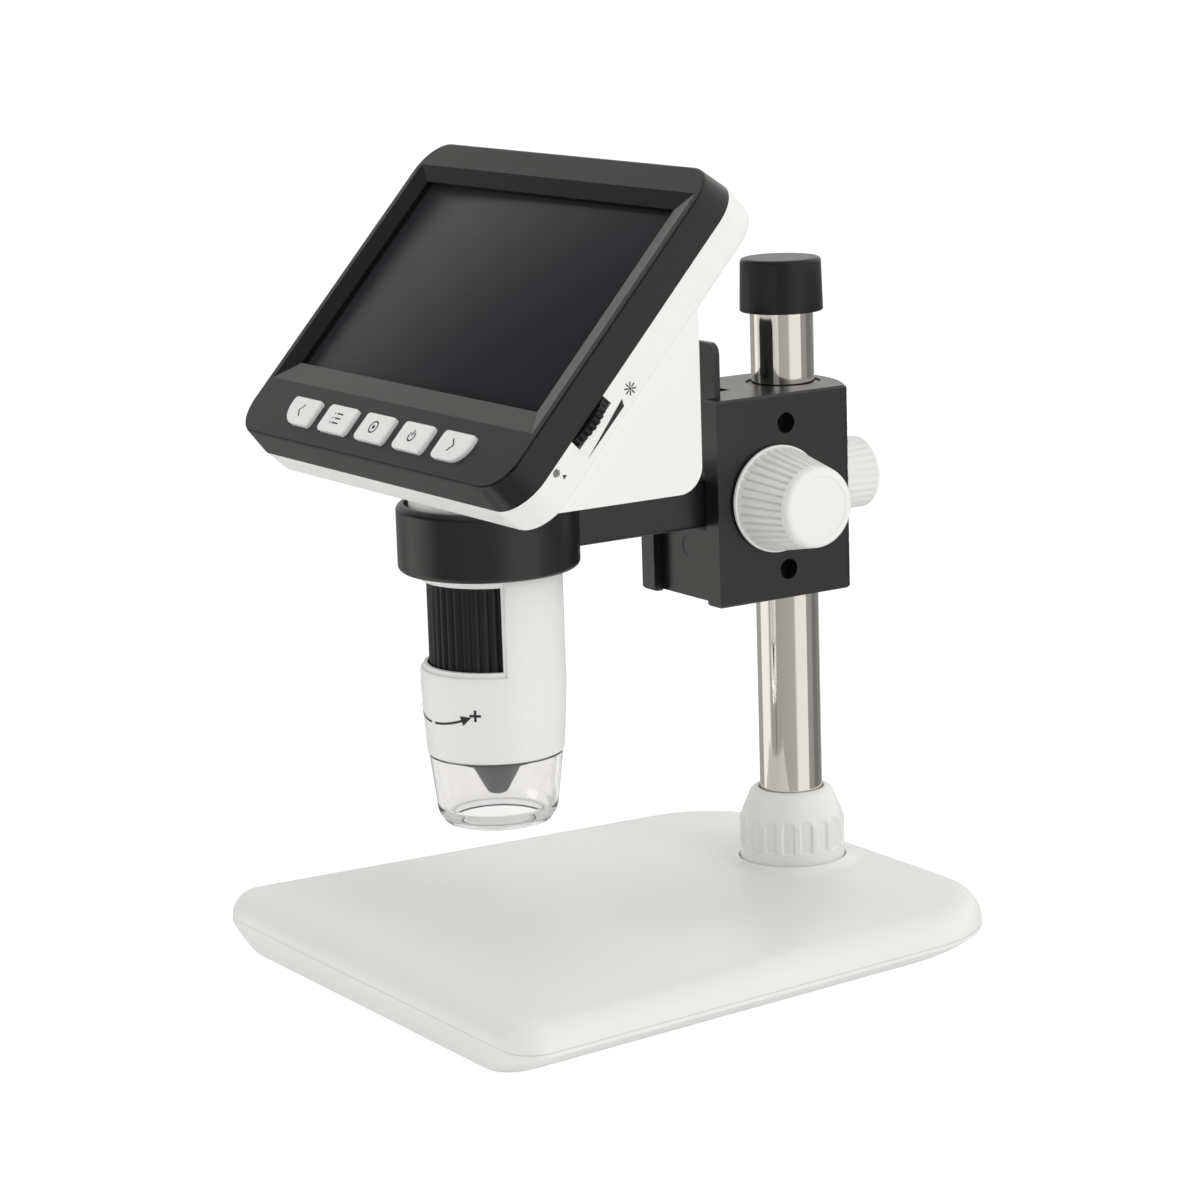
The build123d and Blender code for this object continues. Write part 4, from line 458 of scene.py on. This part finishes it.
def buildCollar():
    part = collar
    low, high = part["panelLow"], part["panelHigh"]
    slope = (part["topRadius"] - part["radius"]) / (part["high"] - part["shoulder"])
    heights = [part["shoulder"] + step for step in (0.5, 0.75, 1.0, 1.4)]
    profile = [(part["thread"], part["low"]), (part["radius"], part["low"], 0.25),
               (part["radius"], low - 0.4), (part["radius"], low), (part["radius"], low + 0.35),
               (part["radius"], part["shoulder"] - 0.8), (part["radius"], part["shoulder"], 0.3)]
    profile += [(part["radius"] + slope * (height - part["shoulder"]), height) for height in heights]
    profile += [(part["topRadius"], part["high"], part["edge"]), (part["bore"], part["high"], 0.3),
                (part["bore"], part["coneTop"]), (part["cone"], part["coneTop"]),
                (part["cone"], part["coneLow"]), (part["thread"], part["threadTop"])]
    shape = spinProfile(profile, part["panels"] * part["stepsPerPanel"], closed=True)
    for vert in shape.verts:      # shallow panels with a narrow rib between each two
        radius = vert.co.xy.length
        if radius <= part["topRadius"] + 0.8 or vert.co.z <= low:
            continue
        turn = math.atan2(vert.co.y, vert.co.x) * part["panels"] / fullTurn
        side = 2 * abs(turn - round(turn))
        rounded = 0.5 * max(0.0, (side - part["cornerFrom"]) / 0.2)
        share = min(1.0, max(0.0, (part["panelHalf"] - side) / 0.12), (vert.co.z - low) / 0.3)
        share *= min(1.0, max(0.0, (high - rounded - vert.co.z) / 0.8))
        vert.co.x *= 1 - part["panelDepth"] * share / radius
        vert.co.y *= 1 - part["panelDepth"] * share / radius
    addPiece("collarNut", shape, whitePlastic, "collar", columnPlace, ["collar_nut"], 32)


# the base's soft rise round the collar
collarFoot = {"radius": 14.6, "low": 13.98, "high": 15.7, "inner": 12.05, "steps": 144}


def buildCollarFoot():
    part = collarFoot
    profile = [(part["inner"], part["low"]), (part["radius"], part["low"]),
               (part["radius"] - 1.1, part["low"] + 0.25), (part["inner"] + 0.75, part["high"] - 0.75),
               (part["inner"] + 0.45, part["high"] - 0.12), (part["inner"] + 0.2, part["high"]),
               (part["inner"], part["high"] - 0.2)]
    shape = spinProfile(profile, part["steps"], closed=True)
    addPiece("collarFoot", shape, whiteBase, "stand", columnPlace, (), 60)


buildColumnCap()
buildCollar()
buildCollarFoot()
print("column done")


# the frame's block ends in a half ellipse; its wall is drawn out to a shallow curve between two sharp corners
# start and wall say which points of the mesh are on that wall
block = {"halfWidth": 15.1, "rear": 13.8, "corner": 6.2, "middle": 11.0, "wall": 0.9, "start": 0.01}


def buildBlock():
    part = block
    shape = copyOfNode("rack_block")
    centre = columnY / mm
    turnHeight = part["corner"] / part["rear"]
    turnWidth = math.sqrt(1 - turnHeight ** 2)
    for vert in shape.verts:
        back = vert.co.y - centre
        reach = math.hypot(vert.co.x / part["halfWidth"], back / part["rear"])
        if back <= part["start"] or reach < part["wall"]:
            continue
        height = back / part["rear"] / reach
        if height < turnHeight:
            vert.co.x /= math.sqrt(1 - height ** 2)
            continue
        across = vert.co.x / reach / part["halfWidth"] / turnWidth
        vert.co.x /= turnWidth
        vert.co.y = centre + reach * (part["middle"] - (part["middle"] - part["corner"]) * across ** 2)
    piece = addPiece("rackBlock", shape, blackMetal, "block", hides=["rack_block"])
    flat = piece.modifiers.new("flatFaces", "WEIGHTED_NORMAL")
    flat.keep_sharp = True
    flat.weight = 100


buildBlock()
print("block done")


# a fluted cone with a thin ring sunk in its face
focusKnob = {"radius": 11.7, "rim": 0.9, "step": 0.35, "faceRadius": 8.6, "length": 15.6, "edge": 1.0,
             "flutes": 36, "fluteDepth": 0.55, "fluteLow": 0.95, "fluteHigh": 13.6, "faceRing": 6.7,
             "faceSink": 0.14, "wall": 2.0, "hub": 4.5, "bore": 2.53, "boreEnd": 8.0, "gap": 0.5}


def buildFocusKnob(side, name, hidden):
    knob = focusKnob
    cone = knob["radius"] - knob["step"]
    slope = (knob["faceRadius"] - cone) / (knob["length"] - knob["rim"])

    def onCone(height):
        return cone + slope * (height - knob["rim"])

    low, high = knob["fluteLow"], knob["fluteHigh"]
    ceiling = knob["length"] - knob["edge"] - knob["wall"]
    rows = [low, low + 0.5, low + 1.0, (low + high) / 2, high - 1.2, high - 0.6, high]
    sink = knob["faceSink"]
    profile = [(0, knob["length"] - sink), (knob["faceRing"], knob["length"] - sink),
               (knob["faceRing"] + sink, knob["length"]),
               (knob["faceRadius"] - 0.1, knob["length"], knob["edge"])]
    profile += [(onCone(height), height) for height in reversed(rows)]
    profile += [(cone, knob["rim"]), (knob["radius"], knob["rim"], 0.2), (knob["radius"], 0, 0.2),
                (knob["radius"] - knob["wall"], 0, 0.3), (knob["faceRadius"] - knob["wall"], ceiling, 0.6),
                (knob["hub"], ceiling, 0.4), (knob["hub"], 0, 0.2), (knob["bore"], 0),
                (knob["bore"], knob["boreEnd"]), (0, knob["boreEnd"])]
    shape = spinProfile(profile, knob["flutes"] * 8)
    pressGrooves(shape, knob["flutes"], knob["fluteDepth"], low - 0.01, high + 0.01,
                 knob["faceRadius"] - 0.3, width=0.48, fade=0.5)
    across = side * (block["halfWidth"] + knob["gap"]) * mm
    seat = Matrix.Translation((across, middleOf("pinion_shaft").y, pinionZ))
    place = seat @ Matrix.Rotation(side * math.pi / 2, 4, "Y")
    addPiece(name, shape, knobWhite, "pinion", place, [hidden], 32)


# a shallow recess clears the threaded insert in the block
lockKnob = {"radius": 8.0, "low": 11.4, "length": 9.5, "edge": 1.1, "flutes": 28, "fluteDepth": 0.38,
            "recess": 4.3, "recessEnd": 2.9, "bore": 2.03, "boreEnd": 6.1}


def buildLockKnob():
    knob = lockKnob
    length = knob["length"]
    profile = [(0, length - 0.35), (knob["radius"] * 0.55, length - 0.3), (knob["radius"] * 0.7, length, 0.5),
               (knob["radius"], length, knob["edge"]), (knob["radius"], length - 1.3),
               (knob["radius"], length - 1.9), (knob["radius"], 1.5), (knob["radius"], 0.9),
               (knob["radius"], 0, 0.3), (knob["recess"], 0, 0.2), (knob["recess"], knob["recessEnd"]),
               (knob["bore"], knob["recessEnd"]), (knob["bore"], knob["boreEnd"]), (0, knob["boreEnd"])]
    shape = spinProfile(profile, knob["flutes"] * 6)
    pressGrooves(shape, knob["flutes"], knob["fluteDepth"], 0.8, length - 1.2, knob["radius"] - 0.1,
                 width=0.62, fade=0.6)
    seat = Matrix.Translation((0, columnY + knob["low"] * mm, pinionZ))
    place = seat @ Matrix.Rotation(-math.pi / 2, 4, "X")
    addPiece("lockKnob", shape, knobWhite, "lock", place, ["lock_knob"], 32)


buildFocusKnob(1, "focusKnobRight", "focus_knob_right")
buildFocusKnob(-1, "focusKnobLeft", "focus_knob_left")
buildLockKnob()
print("knobs done")


# the housing narrows to its mouth; a sunk frame and a window show the focus ring inside
barrel = {"mouth": 14.6, "mouthZ": 52.8, "belly": 15.1, "bellyZ": 60.0, "waist": 15.5, "waistZ": 68.0,
          "upper": 15.42, "neck": 16.6, "neckLow": 94.6, "seam": 112.2, "spigot": 15.45, "spigotTop": 116.8,
          "frameDepth": 0.7, "frameLow": 71.35, "frameHigh": 91.45, "frameHalf": 70.0,
          "windowLow": 72.4, "windowHigh": 90.4, "windowHalf": 67.5, "bore": 13.9, "boreLow": 70.4,
          "topBore": 14.4, "topBoreLow": 91.6, "noseBore": 12.2, "mouthBore": 12.9, "mouthBoreTop": 57.4,
          "steps": 144}


def fromFront(point):      # degrees round the barrel from its front
    return math.degrees(math.atan2(point.x, -point.y))


def buildBarrel():
    part = barrel
    profile = [(part["mouthBore"], part["mouthZ"], 0.2), (part["mouth"], part["mouthZ"], 0.2),
               (part["belly"], part["bellyZ"]), (part["waist"], part["waistZ"])]
    profile += [(part["upper"], part[level]) for level in
                ("frameLow", "windowLow", "windowHigh", "frameHigh", "neckLow")]
    profile += [(part["neck"], part["neckLow"], 0.3), (part["neck"], part["seam"], 0.2),
                (part["spigot"], part["seam"]), (part["spigot"], part["spigotTop"], 0.2),
                (part["topBore"], part["spigotTop"]), (part["topBore"], part["topBoreLow"]),
                (part["bore"], part["topBoreLow"]), (part["bore"], part["windowHigh"]),
                (part["bore"], part["windowLow"]), (part["bore"], part["boreLow"]),
                (part["noseBore"], part["boreLow"]), (part["noseBore"], part["mouthBoreTop"]),
                (part["mouthBore"], part["mouthBoreTop"])]
    shape = spinProfile(profile, part["steps"], closed=True)

    def facesIn(low, high, half, least, most):
        found = []
        for face in shape.faces:
            middle = face.calc_center_median()
            if low < middle.z < high and abs(fromFront(middle)) < half and least < middle.xy.length < most:
                found.append(face)
        return found

    upper, bore = part["upper"], part["bore"]
    frameFaces = facesIn(part["frameLow"], part["frameHigh"], part["frameHalf"], upper - 0.2, upper + 0.2)
    made = bmesh.ops.extrude_face_region(shape, geom=frameFaces)
    sunk = [item for item in made["geom"] if isinstance(item, bmesh.types.BMVert)]
    for vert in sunk:
        share = 1 - part["frameDepth"] / vert.co.xy.length
        vert.co.x *= share
        vert.co.y *= share
    bmesh.ops.delete(shape, geom=[face for face in frameFaces if face.is_valid], context="FACES_ONLY")
    depth = upper - part["frameDepth"]
    window = (part["windowLow"], part["windowHigh"], part["windowHalf"])
    gone = facesIn(*window, depth - 0.2, depth + 0.2) + facesIn(*window, bore - 0.2, bore + 0.2)
    bmesh.ops.delete(shape, geom=gone, context="FACES")
    rims = [edge for edge in shape.edges if edge.is_boundary]
    bmesh.ops.bridge_loops(shape, edges=rims)
    bmesh.ops.recalc_face_normals(shape, faces=shape.faces)
    corners = [edge for edge in shape.edges if len(edge.link_faces) == 2 and edge.calc_face_angle(0) > 1.0
               and part["frameLow"] - 0.1 < min(vert.co.z for vert in edge.verts)
               and max(vert.co.z for vert in edge.verts) < part["frameHigh"] + 0.1
               and min(vert.co.xy.length for vert in edge.verts) > depth - 0.1]
    bmesh.ops.bevel(shape, geom=corners, offset=0.14, offset_type="OFFSET", segments=2, profile=0.5,
                    affect="EDGES", material=-1, clamp_overlap=True)
    addPiece("barrelHousing", shape, whitePlastic, "head", opticPlace, ["barrel_housing"],
             30)


# the knurled ring that the window shows
grip = {"radius": 13.5, "low": 70.5, "high": 91.4, "ribLow": 71.7, "ribHigh": 90.6, "bore": 11.26,
        "ribs": 42, "ribDepth": 0.5}


def buildFocusRing():
    part = grip
    profile = [(part["bore"], part["low"]), (part["radius"], part["low"], 0.2),
               (part["radius"], part["ribLow"]), (part["radius"], part["ribLow"] + 0.5),
               (part["radius"], part["ribHigh"] - 0.5), (part["radius"], part["ribHigh"]),
               (part["radius"], part["high"], 0.2),
               (part["bore"], part["high"])]
    shape = spinProfile(profile, part["ribs"] * 6, closed=True)
    pressGrooves(shape, part["ribs"], part["ribDepth"], part["ribLow"] - 0.01, part["ribHigh"] + 0.01,
                 part["radius"] - 0.1, width=0.66, fade=0.4)
    addPiece("focusRing", shape, blackRubber, "focus_ring", opticPlace, ["focus_ring"], 30)


# each corner is a radius, a height and, where it has one, a rounding
contactCap = {
    "steps": 128,
    "outside": [(9.7, 37.6, 0.2), (11.3, 37.6, 0.3), (12.8, 39.8, 0.9), (14.3, 52.7, 0.12), (12.84, 52.7),
                (12.84, 55.1, 0.2)],
    "inside": [(11.64, 55.1, 0.2), (11.64, 53.2, 0.3), (12.95, 52.1, 0.3), (11.7, 41.0, 0.5),
               (10.75, 39.1, 0.3), (9.7, 39.1, 0.2)]}


def buildContactCap():
    shape = spinProfile(contactCap["outside"] + contactCap["inside"], contactCap["steps"], closed=True)
    addPiece("contactCap", shape, clearCap, "contact_cap", opticPlace, ["contact_cap"], 40)


# the nose cone and the tube behind it, with a slot for the guide's key
lensCarrier = {
    "steps": 96,
    "outside": [(0.8, 43.2), (1.9, 43.2, 0.9), (5.45, 49.6, 1.0), (8.5, 55.0, 0.5), (8.5, 64.0),
                (11.2, 64.0, 0.3), (11.2, 84.0, 0.3)],
    "inside": [(9.6, 84.0), (9.6, 65.6), (7.03, 65.6), (7.03, 60.4), (5.8, 60.4), (5.8, 55.0), (3.6, 50.1),
               (0.8, 44.2)],
    "slotX": (-12, 12), "slotY": (-1.06, 1.06), "slotZ": (69.0, 90.0)}


def buildLensCarrier():
    part = lensCarrier
    shape = spinProfile(part["outside"] + part["inside"], part["steps"], closed=True)
    piece = addPiece("lensCarrier", shape, greyNose, "lens_carrier", opticPlace, ["lens_carrier"],
                     32)
    carveBox(piece, part["slotX"], part["slotY"], part["slotZ"], opticPlace)


buildBarrel()
buildFocusRing()
buildContactCap()
buildLensCarrier()
print("barrel done")


# printed symbols are thin raised ink
inkHeight = 0.035
inkGap = 0.004
keyMark = {"keys": ["previous_key", "menu_key", "confirm_key", "power_key", "next_key"], "pitch": 15.6,
           "middleV": 7.15, "top": 1.1, "size": 1.55, "line": 0.34}


def markChevron(shape, side):
    size, line = keyMark["size"], keyMark["line"]
    tip = (side * size * 0.42, 0)
    for end in (-1, 1):
        addBar(shape, tip, (-side * size * 0.42, end * size * 0.95), line)
    addDot(shape, tip, line / 2, 12)


def markList(shape):
    size, line = keyMark["size"], keyMark["line"]
    for row in (-1, 0, 1):
        addBar(shape, (-size * 0.45, row * size * 0.72), (size * 1.05, row * size * 0.72), line)
        addDot(shape, (-size * 1.0, row * size * 0.72), line * 0.62, 12)


def markConfirm(shape):
    size, line = keyMark["size"], keyMark["line"]
    addArc(shape, (0, 0), size * 0.86, line, 0, 360, 40)
    addDot(shape, (0, 0), size * 0.3)


def markPower(shape):
    size, line = keyMark["size"], keyMark["line"]
    addArc(shape, (0, -size * 0.1), size * 0.68, line, 122, 296, 36)
    addBar(shape, (0, -size * 0.05), (0, size * 0.95), line)


def buildKeyMarks():
    drawings = [lambda shape: markChevron(shape, -1), markList, markConfirm, markPower,
                lambda shape: markChevron(shape, 1)]
    for index, key in enumerate(keyMark["keys"]):
        shape = bmesh.new()
        drawings[index](shape)
        thickenMarks(shape, inkHeight)
        across = keyMark["pitch"] * (index - 2)
        height = keyMark["top"] + inkGap
        seat = Matrix.Translation((across * mm, keyMark["middleV"] * mm, height * mm))
        addPiece(key.replace("_key", "Mark"), shape, inkBlack, key, headPlace @ seat)


# brightness marks and reset arrow on the head's right side; x runs up the screen, y out of it
sideMark = {"edge": 55.9, "seam": 6.7, "draft": 0.0263, "sun": (33.2, -11.0), "sunDot": 0.3, "rayStart": 0.45,
            "rayEnd": 1.4, "rays": 8, "rayWidth": 0.27,
            "ramp": [(17.0, -12.0), (29.7, -12.1), (30.5, -10.75)], "arrow": (11.0, -9.75), "arrowSize": 0.55}


def buildSideMarks():
    part = sideMark
    shape = bmesh.new()
    addDot(shape, part["sun"], part["sunDot"])
    for ray in range(part["rays"]):
        turn = fullTurn * ray / part["rays"]
        ends = [(part["sun"][0] + reach * math.cos(turn), part["sun"][1] + reach * math.sin(turn))
                for reach in (part["rayStart"], part["rayEnd"])]
        addBar(shape, *ends, part["rayWidth"])
    addTriangle(shape, part["ramp"])
    x, y = part["arrow"]
    size = part["arrowSize"]
    addTriangle(shape, [(x - size, y - size * 0.5), (x + size, y - size * 0.5), (x, y + size)])
    thickenMarks(shape, inkHeight)
    for vert in shape.verts:      # follows the slight draft of the shell
        vert.co.z -= (-vert.co.y - part["seam"]) * part["draft"]
    place = headOrigin + Vector(((part["edge"] + inkGap) * mm, 0, 0))
    turn = Matrix((screenUp, screenNormal, Vector((1, 0, 0)))).transposed().to_4x4()
    addPiece("sideMarks", shape, inkBlack, "head", Matrix.Translation(place) @ turn)


# arrows round the barrel towards a plus and a minus
turnMark = {"lowZ": 60.9, "rise": 2.2, "riseAt": 40.0, "start": 2.5, "end": 32.0, "head": 40.0, "sign": 43.2,
            "line": 0.48, "signLine": 0.55, "headWidth": 2.1, "signSize": 1.25, "radius": 15.3, "gap": 0.006,
            "steps": 20}


def buildTurnMarks():
    part = turnMark
    degree = math.radians(1) * part["radius"]

    def height(angle):
        return part["rise"] * (angle / part["riseAt"]) ** 2

    shape = bmesh.new()
    for side in (-1, 1):
        for step in range(part["steps"]):
            first, last = (part["start"] + (part["end"] - part["start"]) * place / part["steps"]
                           for place in (step, step + 1.15))
            ends = [(side * angle * degree, height(angle)) for angle in (first, last)]
            addBar(shape, *ends, part["line"])
        tip = (side * part["head"] * degree, height(part["head"]))
        back = part["end"] - 0.6
        slant = 2 * part["rise"] * back / part["riseAt"] ** 2 / degree
        half = part["headWidth"] / 2
        base = [(side * (back * degree - slant * end * half), height(back) + end * half) for end in (-1, 1)]
        addTriangle(shape, [tip, *base])
        middle = (side * part["sign"] * degree, height(part["sign"]))
        reach = part["signSize"]
        addBar(shape, (middle[0] - reach, middle[1]), (middle[0] + reach, middle[1]), part["signLine"])
        if side > 0:
            addBar(shape, (middle[0], middle[1] - reach), (middle[0], middle[1] + reach), part["signLine"])
    thickenMarks(shape, inkHeight)
    bmesh.ops.subdivide_edges(shape, edges=[edge for edge in shape.edges if edge.calc_length() > 1.2], cuts=2)
    taper = (barrel["waist"] - barrel["belly"]) / (barrel["waistZ"] - barrel["bellyZ"])
    for vert in shape.verts:      # wraps the flat marks on the tapered wall
        z = part["lowZ"] + vert.co.y
        angle = vert.co.x / part["radius"]
        radius = barrel["belly"] + (z - barrel["bellyZ"]) * taper + part["gap"] + vert.co.z
        vert.co = Vector((radius * math.sin(angle), -radius * math.cos(angle), z))
    addPiece("turnMarks", shape, inkBlack, "head", opticPlace, sharpAngle=60)


buildKeyMarks()
buildSideMarks()
buildTurnMarks()
print("symbols done")


screen = {"half": 51.6, "low": 13.4, "high": 73.0, "front": -2.23, "thickness": 0.8, "edge": 0.12}


def buildScreen():
    part = screen
    shape = bmesh.new()
    bmesh.ops.create_cube(shape, size=1.0)
    size = (2 * part["half"], part["high"] - part["low"], part["thickness"])
    middle = (0, (part["high"] + part["low"]) / 2, part["front"] - part["thickness"] / 2)
    shape.transform(Matrix.Translation(middle) @ Matrix.Diagonal((*size, 1)))
    bmesh.ops.bevel(shape, geom=shape.edges[:], offset=part["edge"], offset_type="OFFSET", segments=2,
                    profile=0.5, affect="EDGES", material=-1)
    addPiece("screenPane", shape, screenDark, "head", headPlace, ["screen_glass"])


rubberFoot = {"radius": 5.5, "height": 2.2, "edge": 0.5, "ring": 3.6, "ringDepth": 0.3, "steps": 64}


# middles of the separate lumps in a node's mesh
def lumpMiddles(name):
    shape = copyOfNode(name)
    left = set(shape.verts)
    middles = []
    while left:
        lump = [left.pop()]
        for vert in lump:
            for edge in vert.link_edges:
                beside = edge.other_vert(vert)
                if beside in left:
                    left.remove(beside)
                    lump.append(beside)
        corners = [[pick(vert.co[axis] for vert in lump) for axis in range(3)] for pick in (min, max)]
        middles.append(tuple((low + high) / 2 for low, high in zip(*corners)))
    shape.free()
    return sorted(middles)


def buildFeet():
    part = rubberFoot
    whole = bmesh.new()
    for spot in lumpMiddles("rubber_feet"):
        profile = [(0, part["ringDepth"]), (part["ring"] - 0.5, part["ringDepth"], 0.15),
                   (part["ring"], 0, 0.15), (part["radius"], 0, part["edge"]),
                   (part["radius"], part["height"]), (0, part["height"])]
        shape = spinProfile(profile, part["steps"])
        shape.transform(Matrix.Translation((spot[0], spot[1], 0)))
        copyInto(whole, shape)
    addPiece("rubberFeet", whole, footRubber, "stand", Matrix(), ["rubber_feet"])


buildScreen()
buildFeet()
print("screen and feet done")


# wall shades go by azimuth in degrees, with 0 in front and 90 on the right
studio = {
    "floorSize": 12.0, "floorGlow": 1.12, "glowShare": 0.75, "floorBounce": 0.24,
    "backColour": (1.0, 1.0, 1.0), "backStrength": 1.02,
    "topShade": 0.74, "topFrom": 0.74, "topTo": 0.94, "wallShare": 0.95,
    "lowWalls": [(-180, 0.24), (-156, 0.20), (-150, 0.55), (-122, 0.36), (-66, 0.36), (-62, 0.95),
                 (-24, 0.95), (-18, 0.36), (0, 0.34), (2, 0.12), (6, 0.36), (76, 0.42), (84, 0.86),
                 (124, 0.86), (132, 0.32), (150, 0.30), (156, 0.18)],
    "highWalls": [(-180, 0.95), (-98, 0.95), (-84, 0.80), (-70, 0.42), (-62, 0.10), (-30, 0.06), (50, 0.10),
                  (72, 0.45), (86, 1.0), (180, 1.0)],
    "keyLight": {"place": (1.15, 0.05, 0.85), "size": 0.9, "power": 5.0},
    "fillLight": {"place": (-0.5, -1.1, 0.55), "size": 0.8, "power": 6.6},
    "topLight": {"place": (0.0, 0.3, 1.6), "size": 1.2, "power": 2.8},
}


def addLight(name, settings):
    lamp = bpy.data.lights.new(name, "AREA")
    lamp.size = settings["size"]
    lamp.energy = settings["power"]
    item = bpy.data.objects.new(name, lamp)
    item.location = settings["place"]
    aim = Vector((0, 0, 0.08)) - item.location
    item.rotation_euler = aim.to_track_quat("-Z", "Y").to_euler()
    item.visible_glossy = False      # reflections show the walls alone
    bpy.context.scene.collection.objects.link(item)


def buildStudio():
    for name in ("keyLight", "fillLight", "topLight"):
        addLight(name, studio[name])
    shape = bmesh.new()
    bmesh.ops.create_grid(shape, x_segments=1, y_segments=1, size=studio["floorSize"] / 2)
    mesh = bpy.data.meshes.new("floor")
    shape.to_mesh(mesh)
    shape.free()
    floor = bpy.data.objects.new("floor", mesh)
    bpy.context.scene.collection.objects.link(floor)
    floorPaint, floorTree, floorShader = newMaterial("floorPaint")
    floorShader.inputs["Base Color"].default_value = (0.92, 0.92, 0.92, 1)
    floorShader.inputs["Roughness"].default_value = 0.8
    floorShader.inputs["Emission Color"].default_value = (1, 1, 1, 1)
    floorShader.inputs["Emission Strength"].default_value = studio["floorBounce"]
    glow = node(floorTree, "ShaderNodeEmission")
    glow.inputs["Strength"].default_value = studio["floorGlow"]
    cameraRay = node(floorTree, "ShaderNodeLightPath")
    share = node(floorTree, "ShaderNodeMath", operation="MULTIPLY")
    share.inputs[1].default_value = studio["glowShare"]
    link(floorTree, cameraRay.outputs["Is Camera Ray"], share.inputs[0])
    either = node(floorTree, "ShaderNodeMixShader")
    link(floorTree, share.outputs[0], either.inputs["Fac"])
    link(floorTree, floorShader.outputs[0], either.inputs[1])
    link(floorTree, glow.outputs[0], either.inputs[2])
    link(floorTree, either.outputs[0], floorTree.nodes["Material Output"].inputs["Surface"])
    mesh.materials.append(floorPaint)
    floor.visible_glossy = False      # so the polished parts mirror the walls
    buildWalls()


# one band of wall shades round the object, as a ramp over the azimuth
def wallBand(tree, share, shades):
    ramp = node(tree, "ShaderNodeValToRGB")
    stops = ramp.color_ramp.elements
    for index, (angle, shade) in enumerate(shades):
        stop = stops[index] if index < 2 else stops.new(1.0)
        stop.position = angle / 360 + 0.5
        stop.color = (shade, shade * 0.985, shade * 0.95, 1)
    link(tree, share, ramp.inputs["Fac"])
    return ramp.outputs["Color"]


def blendByHeight(tree, height, low, high, lower, upper):
    rise = node(tree, "ShaderNodeMapRange", interpolation_type="SMOOTHSTEP")
    rise.inputs["From Min"].default_value = low
    rise.inputs["From Max"].default_value = high
    link(tree, height, rise.inputs["Value"])
    mixed = node(tree, "ShaderNodeMix", data_type="RGBA")
    link(tree, rise.outputs["Result"], mixed.inputs["Factor"])
    for source, place in ((lower, 6), (upper, 7)):
        if isinstance(source, float):
            mixed.inputs[place].default_value = (source, source, source, 1)
        else:
            link(tree, source, mixed.inputs[place])
    return mixed.outputs[2]


# pale walls with soft darker bands, which only reflections and the light see
def buildWalls():
    world = bpy.data.worlds.new("studioWorld")
    world.use_nodes = True
    tree = world.node_tree
    plain = tree.nodes["Background"]
    plain.inputs["Color"].default_value = (*studio["backColour"], 1)
    plain.inputs["Strength"].default_value = studio["backStrength"]
    place = node(tree, "ShaderNodeTexCoord")
    parts = node(tree, "ShaderNodeSeparateXYZ")
    link(tree, place.outputs["Generated"], parts.inputs[0])
    flipped = node(tree, "ShaderNodeMath", operation="MULTIPLY")
    flipped.inputs[1].default_value = -1.0
    link(tree, parts.outputs["Y"], flipped.inputs[0])
    azimuth = node(tree, "ShaderNodeMath", operation="ARCTAN2")
    link(tree, parts.outputs["X"], azimuth.inputs[0])
    link(tree, flipped.outputs[0], azimuth.inputs[1])
    share = node(tree, "ShaderNodeMath", operation="MULTIPLY_ADD")
    share.inputs[1].default_value = 1 / fullTurn
    share.inputs[2].default_value = 0.5
    link(tree, azimuth.outputs[0], share.inputs[0])
    low = wallBand(tree, share.outputs[0], studio["lowWalls"])
    high = wallBand(tree, share.outputs[0], studio["highWalls"])
    walls = blendByHeight(tree, parts.outputs["Z"], -0.04, 0.12, low, high)
    walls = blendByHeight(tree, parts.outputs["Z"], studio["topFrom"], studio["topTo"], walls,
                          studio["topShade"])
    lit = node(tree, "ShaderNodeBackground")
    link(tree, walls, lit.inputs["Color"])
    seen = node(tree, "ShaderNodeLightPath")      # clear parts show the plain backdrop too
    soft = node(tree, "ShaderNodeMath", operation="MULTIPLY_ADD")      # the walls light less than they show
    soft.inputs[1].default_value = studio["wallShare"] - 1
    soft.inputs[2].default_value = 1.0
    link(tree, seen.outputs["Is Diffuse Ray"], soft.inputs[0])
    link(tree, soft.outputs[0], lit.inputs["Strength"])
    direct = node(tree, "ShaderNodeMath", operation="MAXIMUM")
    link(tree, seen.outputs["Is Camera Ray"], direct.inputs[0])
    link(tree, seen.outputs["Is Transmission Ray"], direct.inputs[1])
    either = node(tree, "ShaderNodeMixShader")
    link(tree, direct.outputs[0], either.inputs["Fac"])
    link(tree, lit.outputs[0], either.inputs[1])
    link(tree, plain.outputs[0], either.inputs[2])
    link(tree, either.outputs[0], tree.nodes["World Output"].inputs["Surface"])
    bpy.context.scene.world = world
    bpy.context.scene.view_settings.view_transform = "Standard"


cameraSet = {"azimuth": 57.17, "elevation": 11.79, "roll": -1.82, "lens": 107.49, "sensor": 36.0,
             "place": (635.42, -459.74, 239.01)}


def buildCamera():
    azimuth = math.radians(cameraSet["azimuth"])
    elevation = math.radians(cameraSet["elevation"])
    roll = math.radians(cameraSet["roll"])
    back = Vector((math.sin(azimuth) * math.cos(elevation), -math.cos(azimuth) * math.cos(elevation),
                   math.sin(elevation)))
    right = (-back).cross(Vector((0, 0, 1))).normalized()
    up = right.cross(-back)
    right, up = (math.cos(roll) * right + math.sin(roll) * up, math.cos(roll) * up - math.sin(roll) * right)
    data = bpy.data.cameras.new("camera")
    data.sensor_width = cameraSet["sensor"]
    data.lens = cameraSet["lens"]
    camera = bpy.data.objects.new("camera", data)
    turn = Matrix((right, up, back)).transposed().to_4x4()
    place = Vector(cameraSet["place"]) * mm + Vector((0, columnY, 0))
    camera.matrix_world = Matrix.Translation(place) @ turn
    bpy.context.scene.collection.objects.link(camera)
    bpy.context.scene.camera = camera


buildStudio()
buildCamera()
print("studio done")
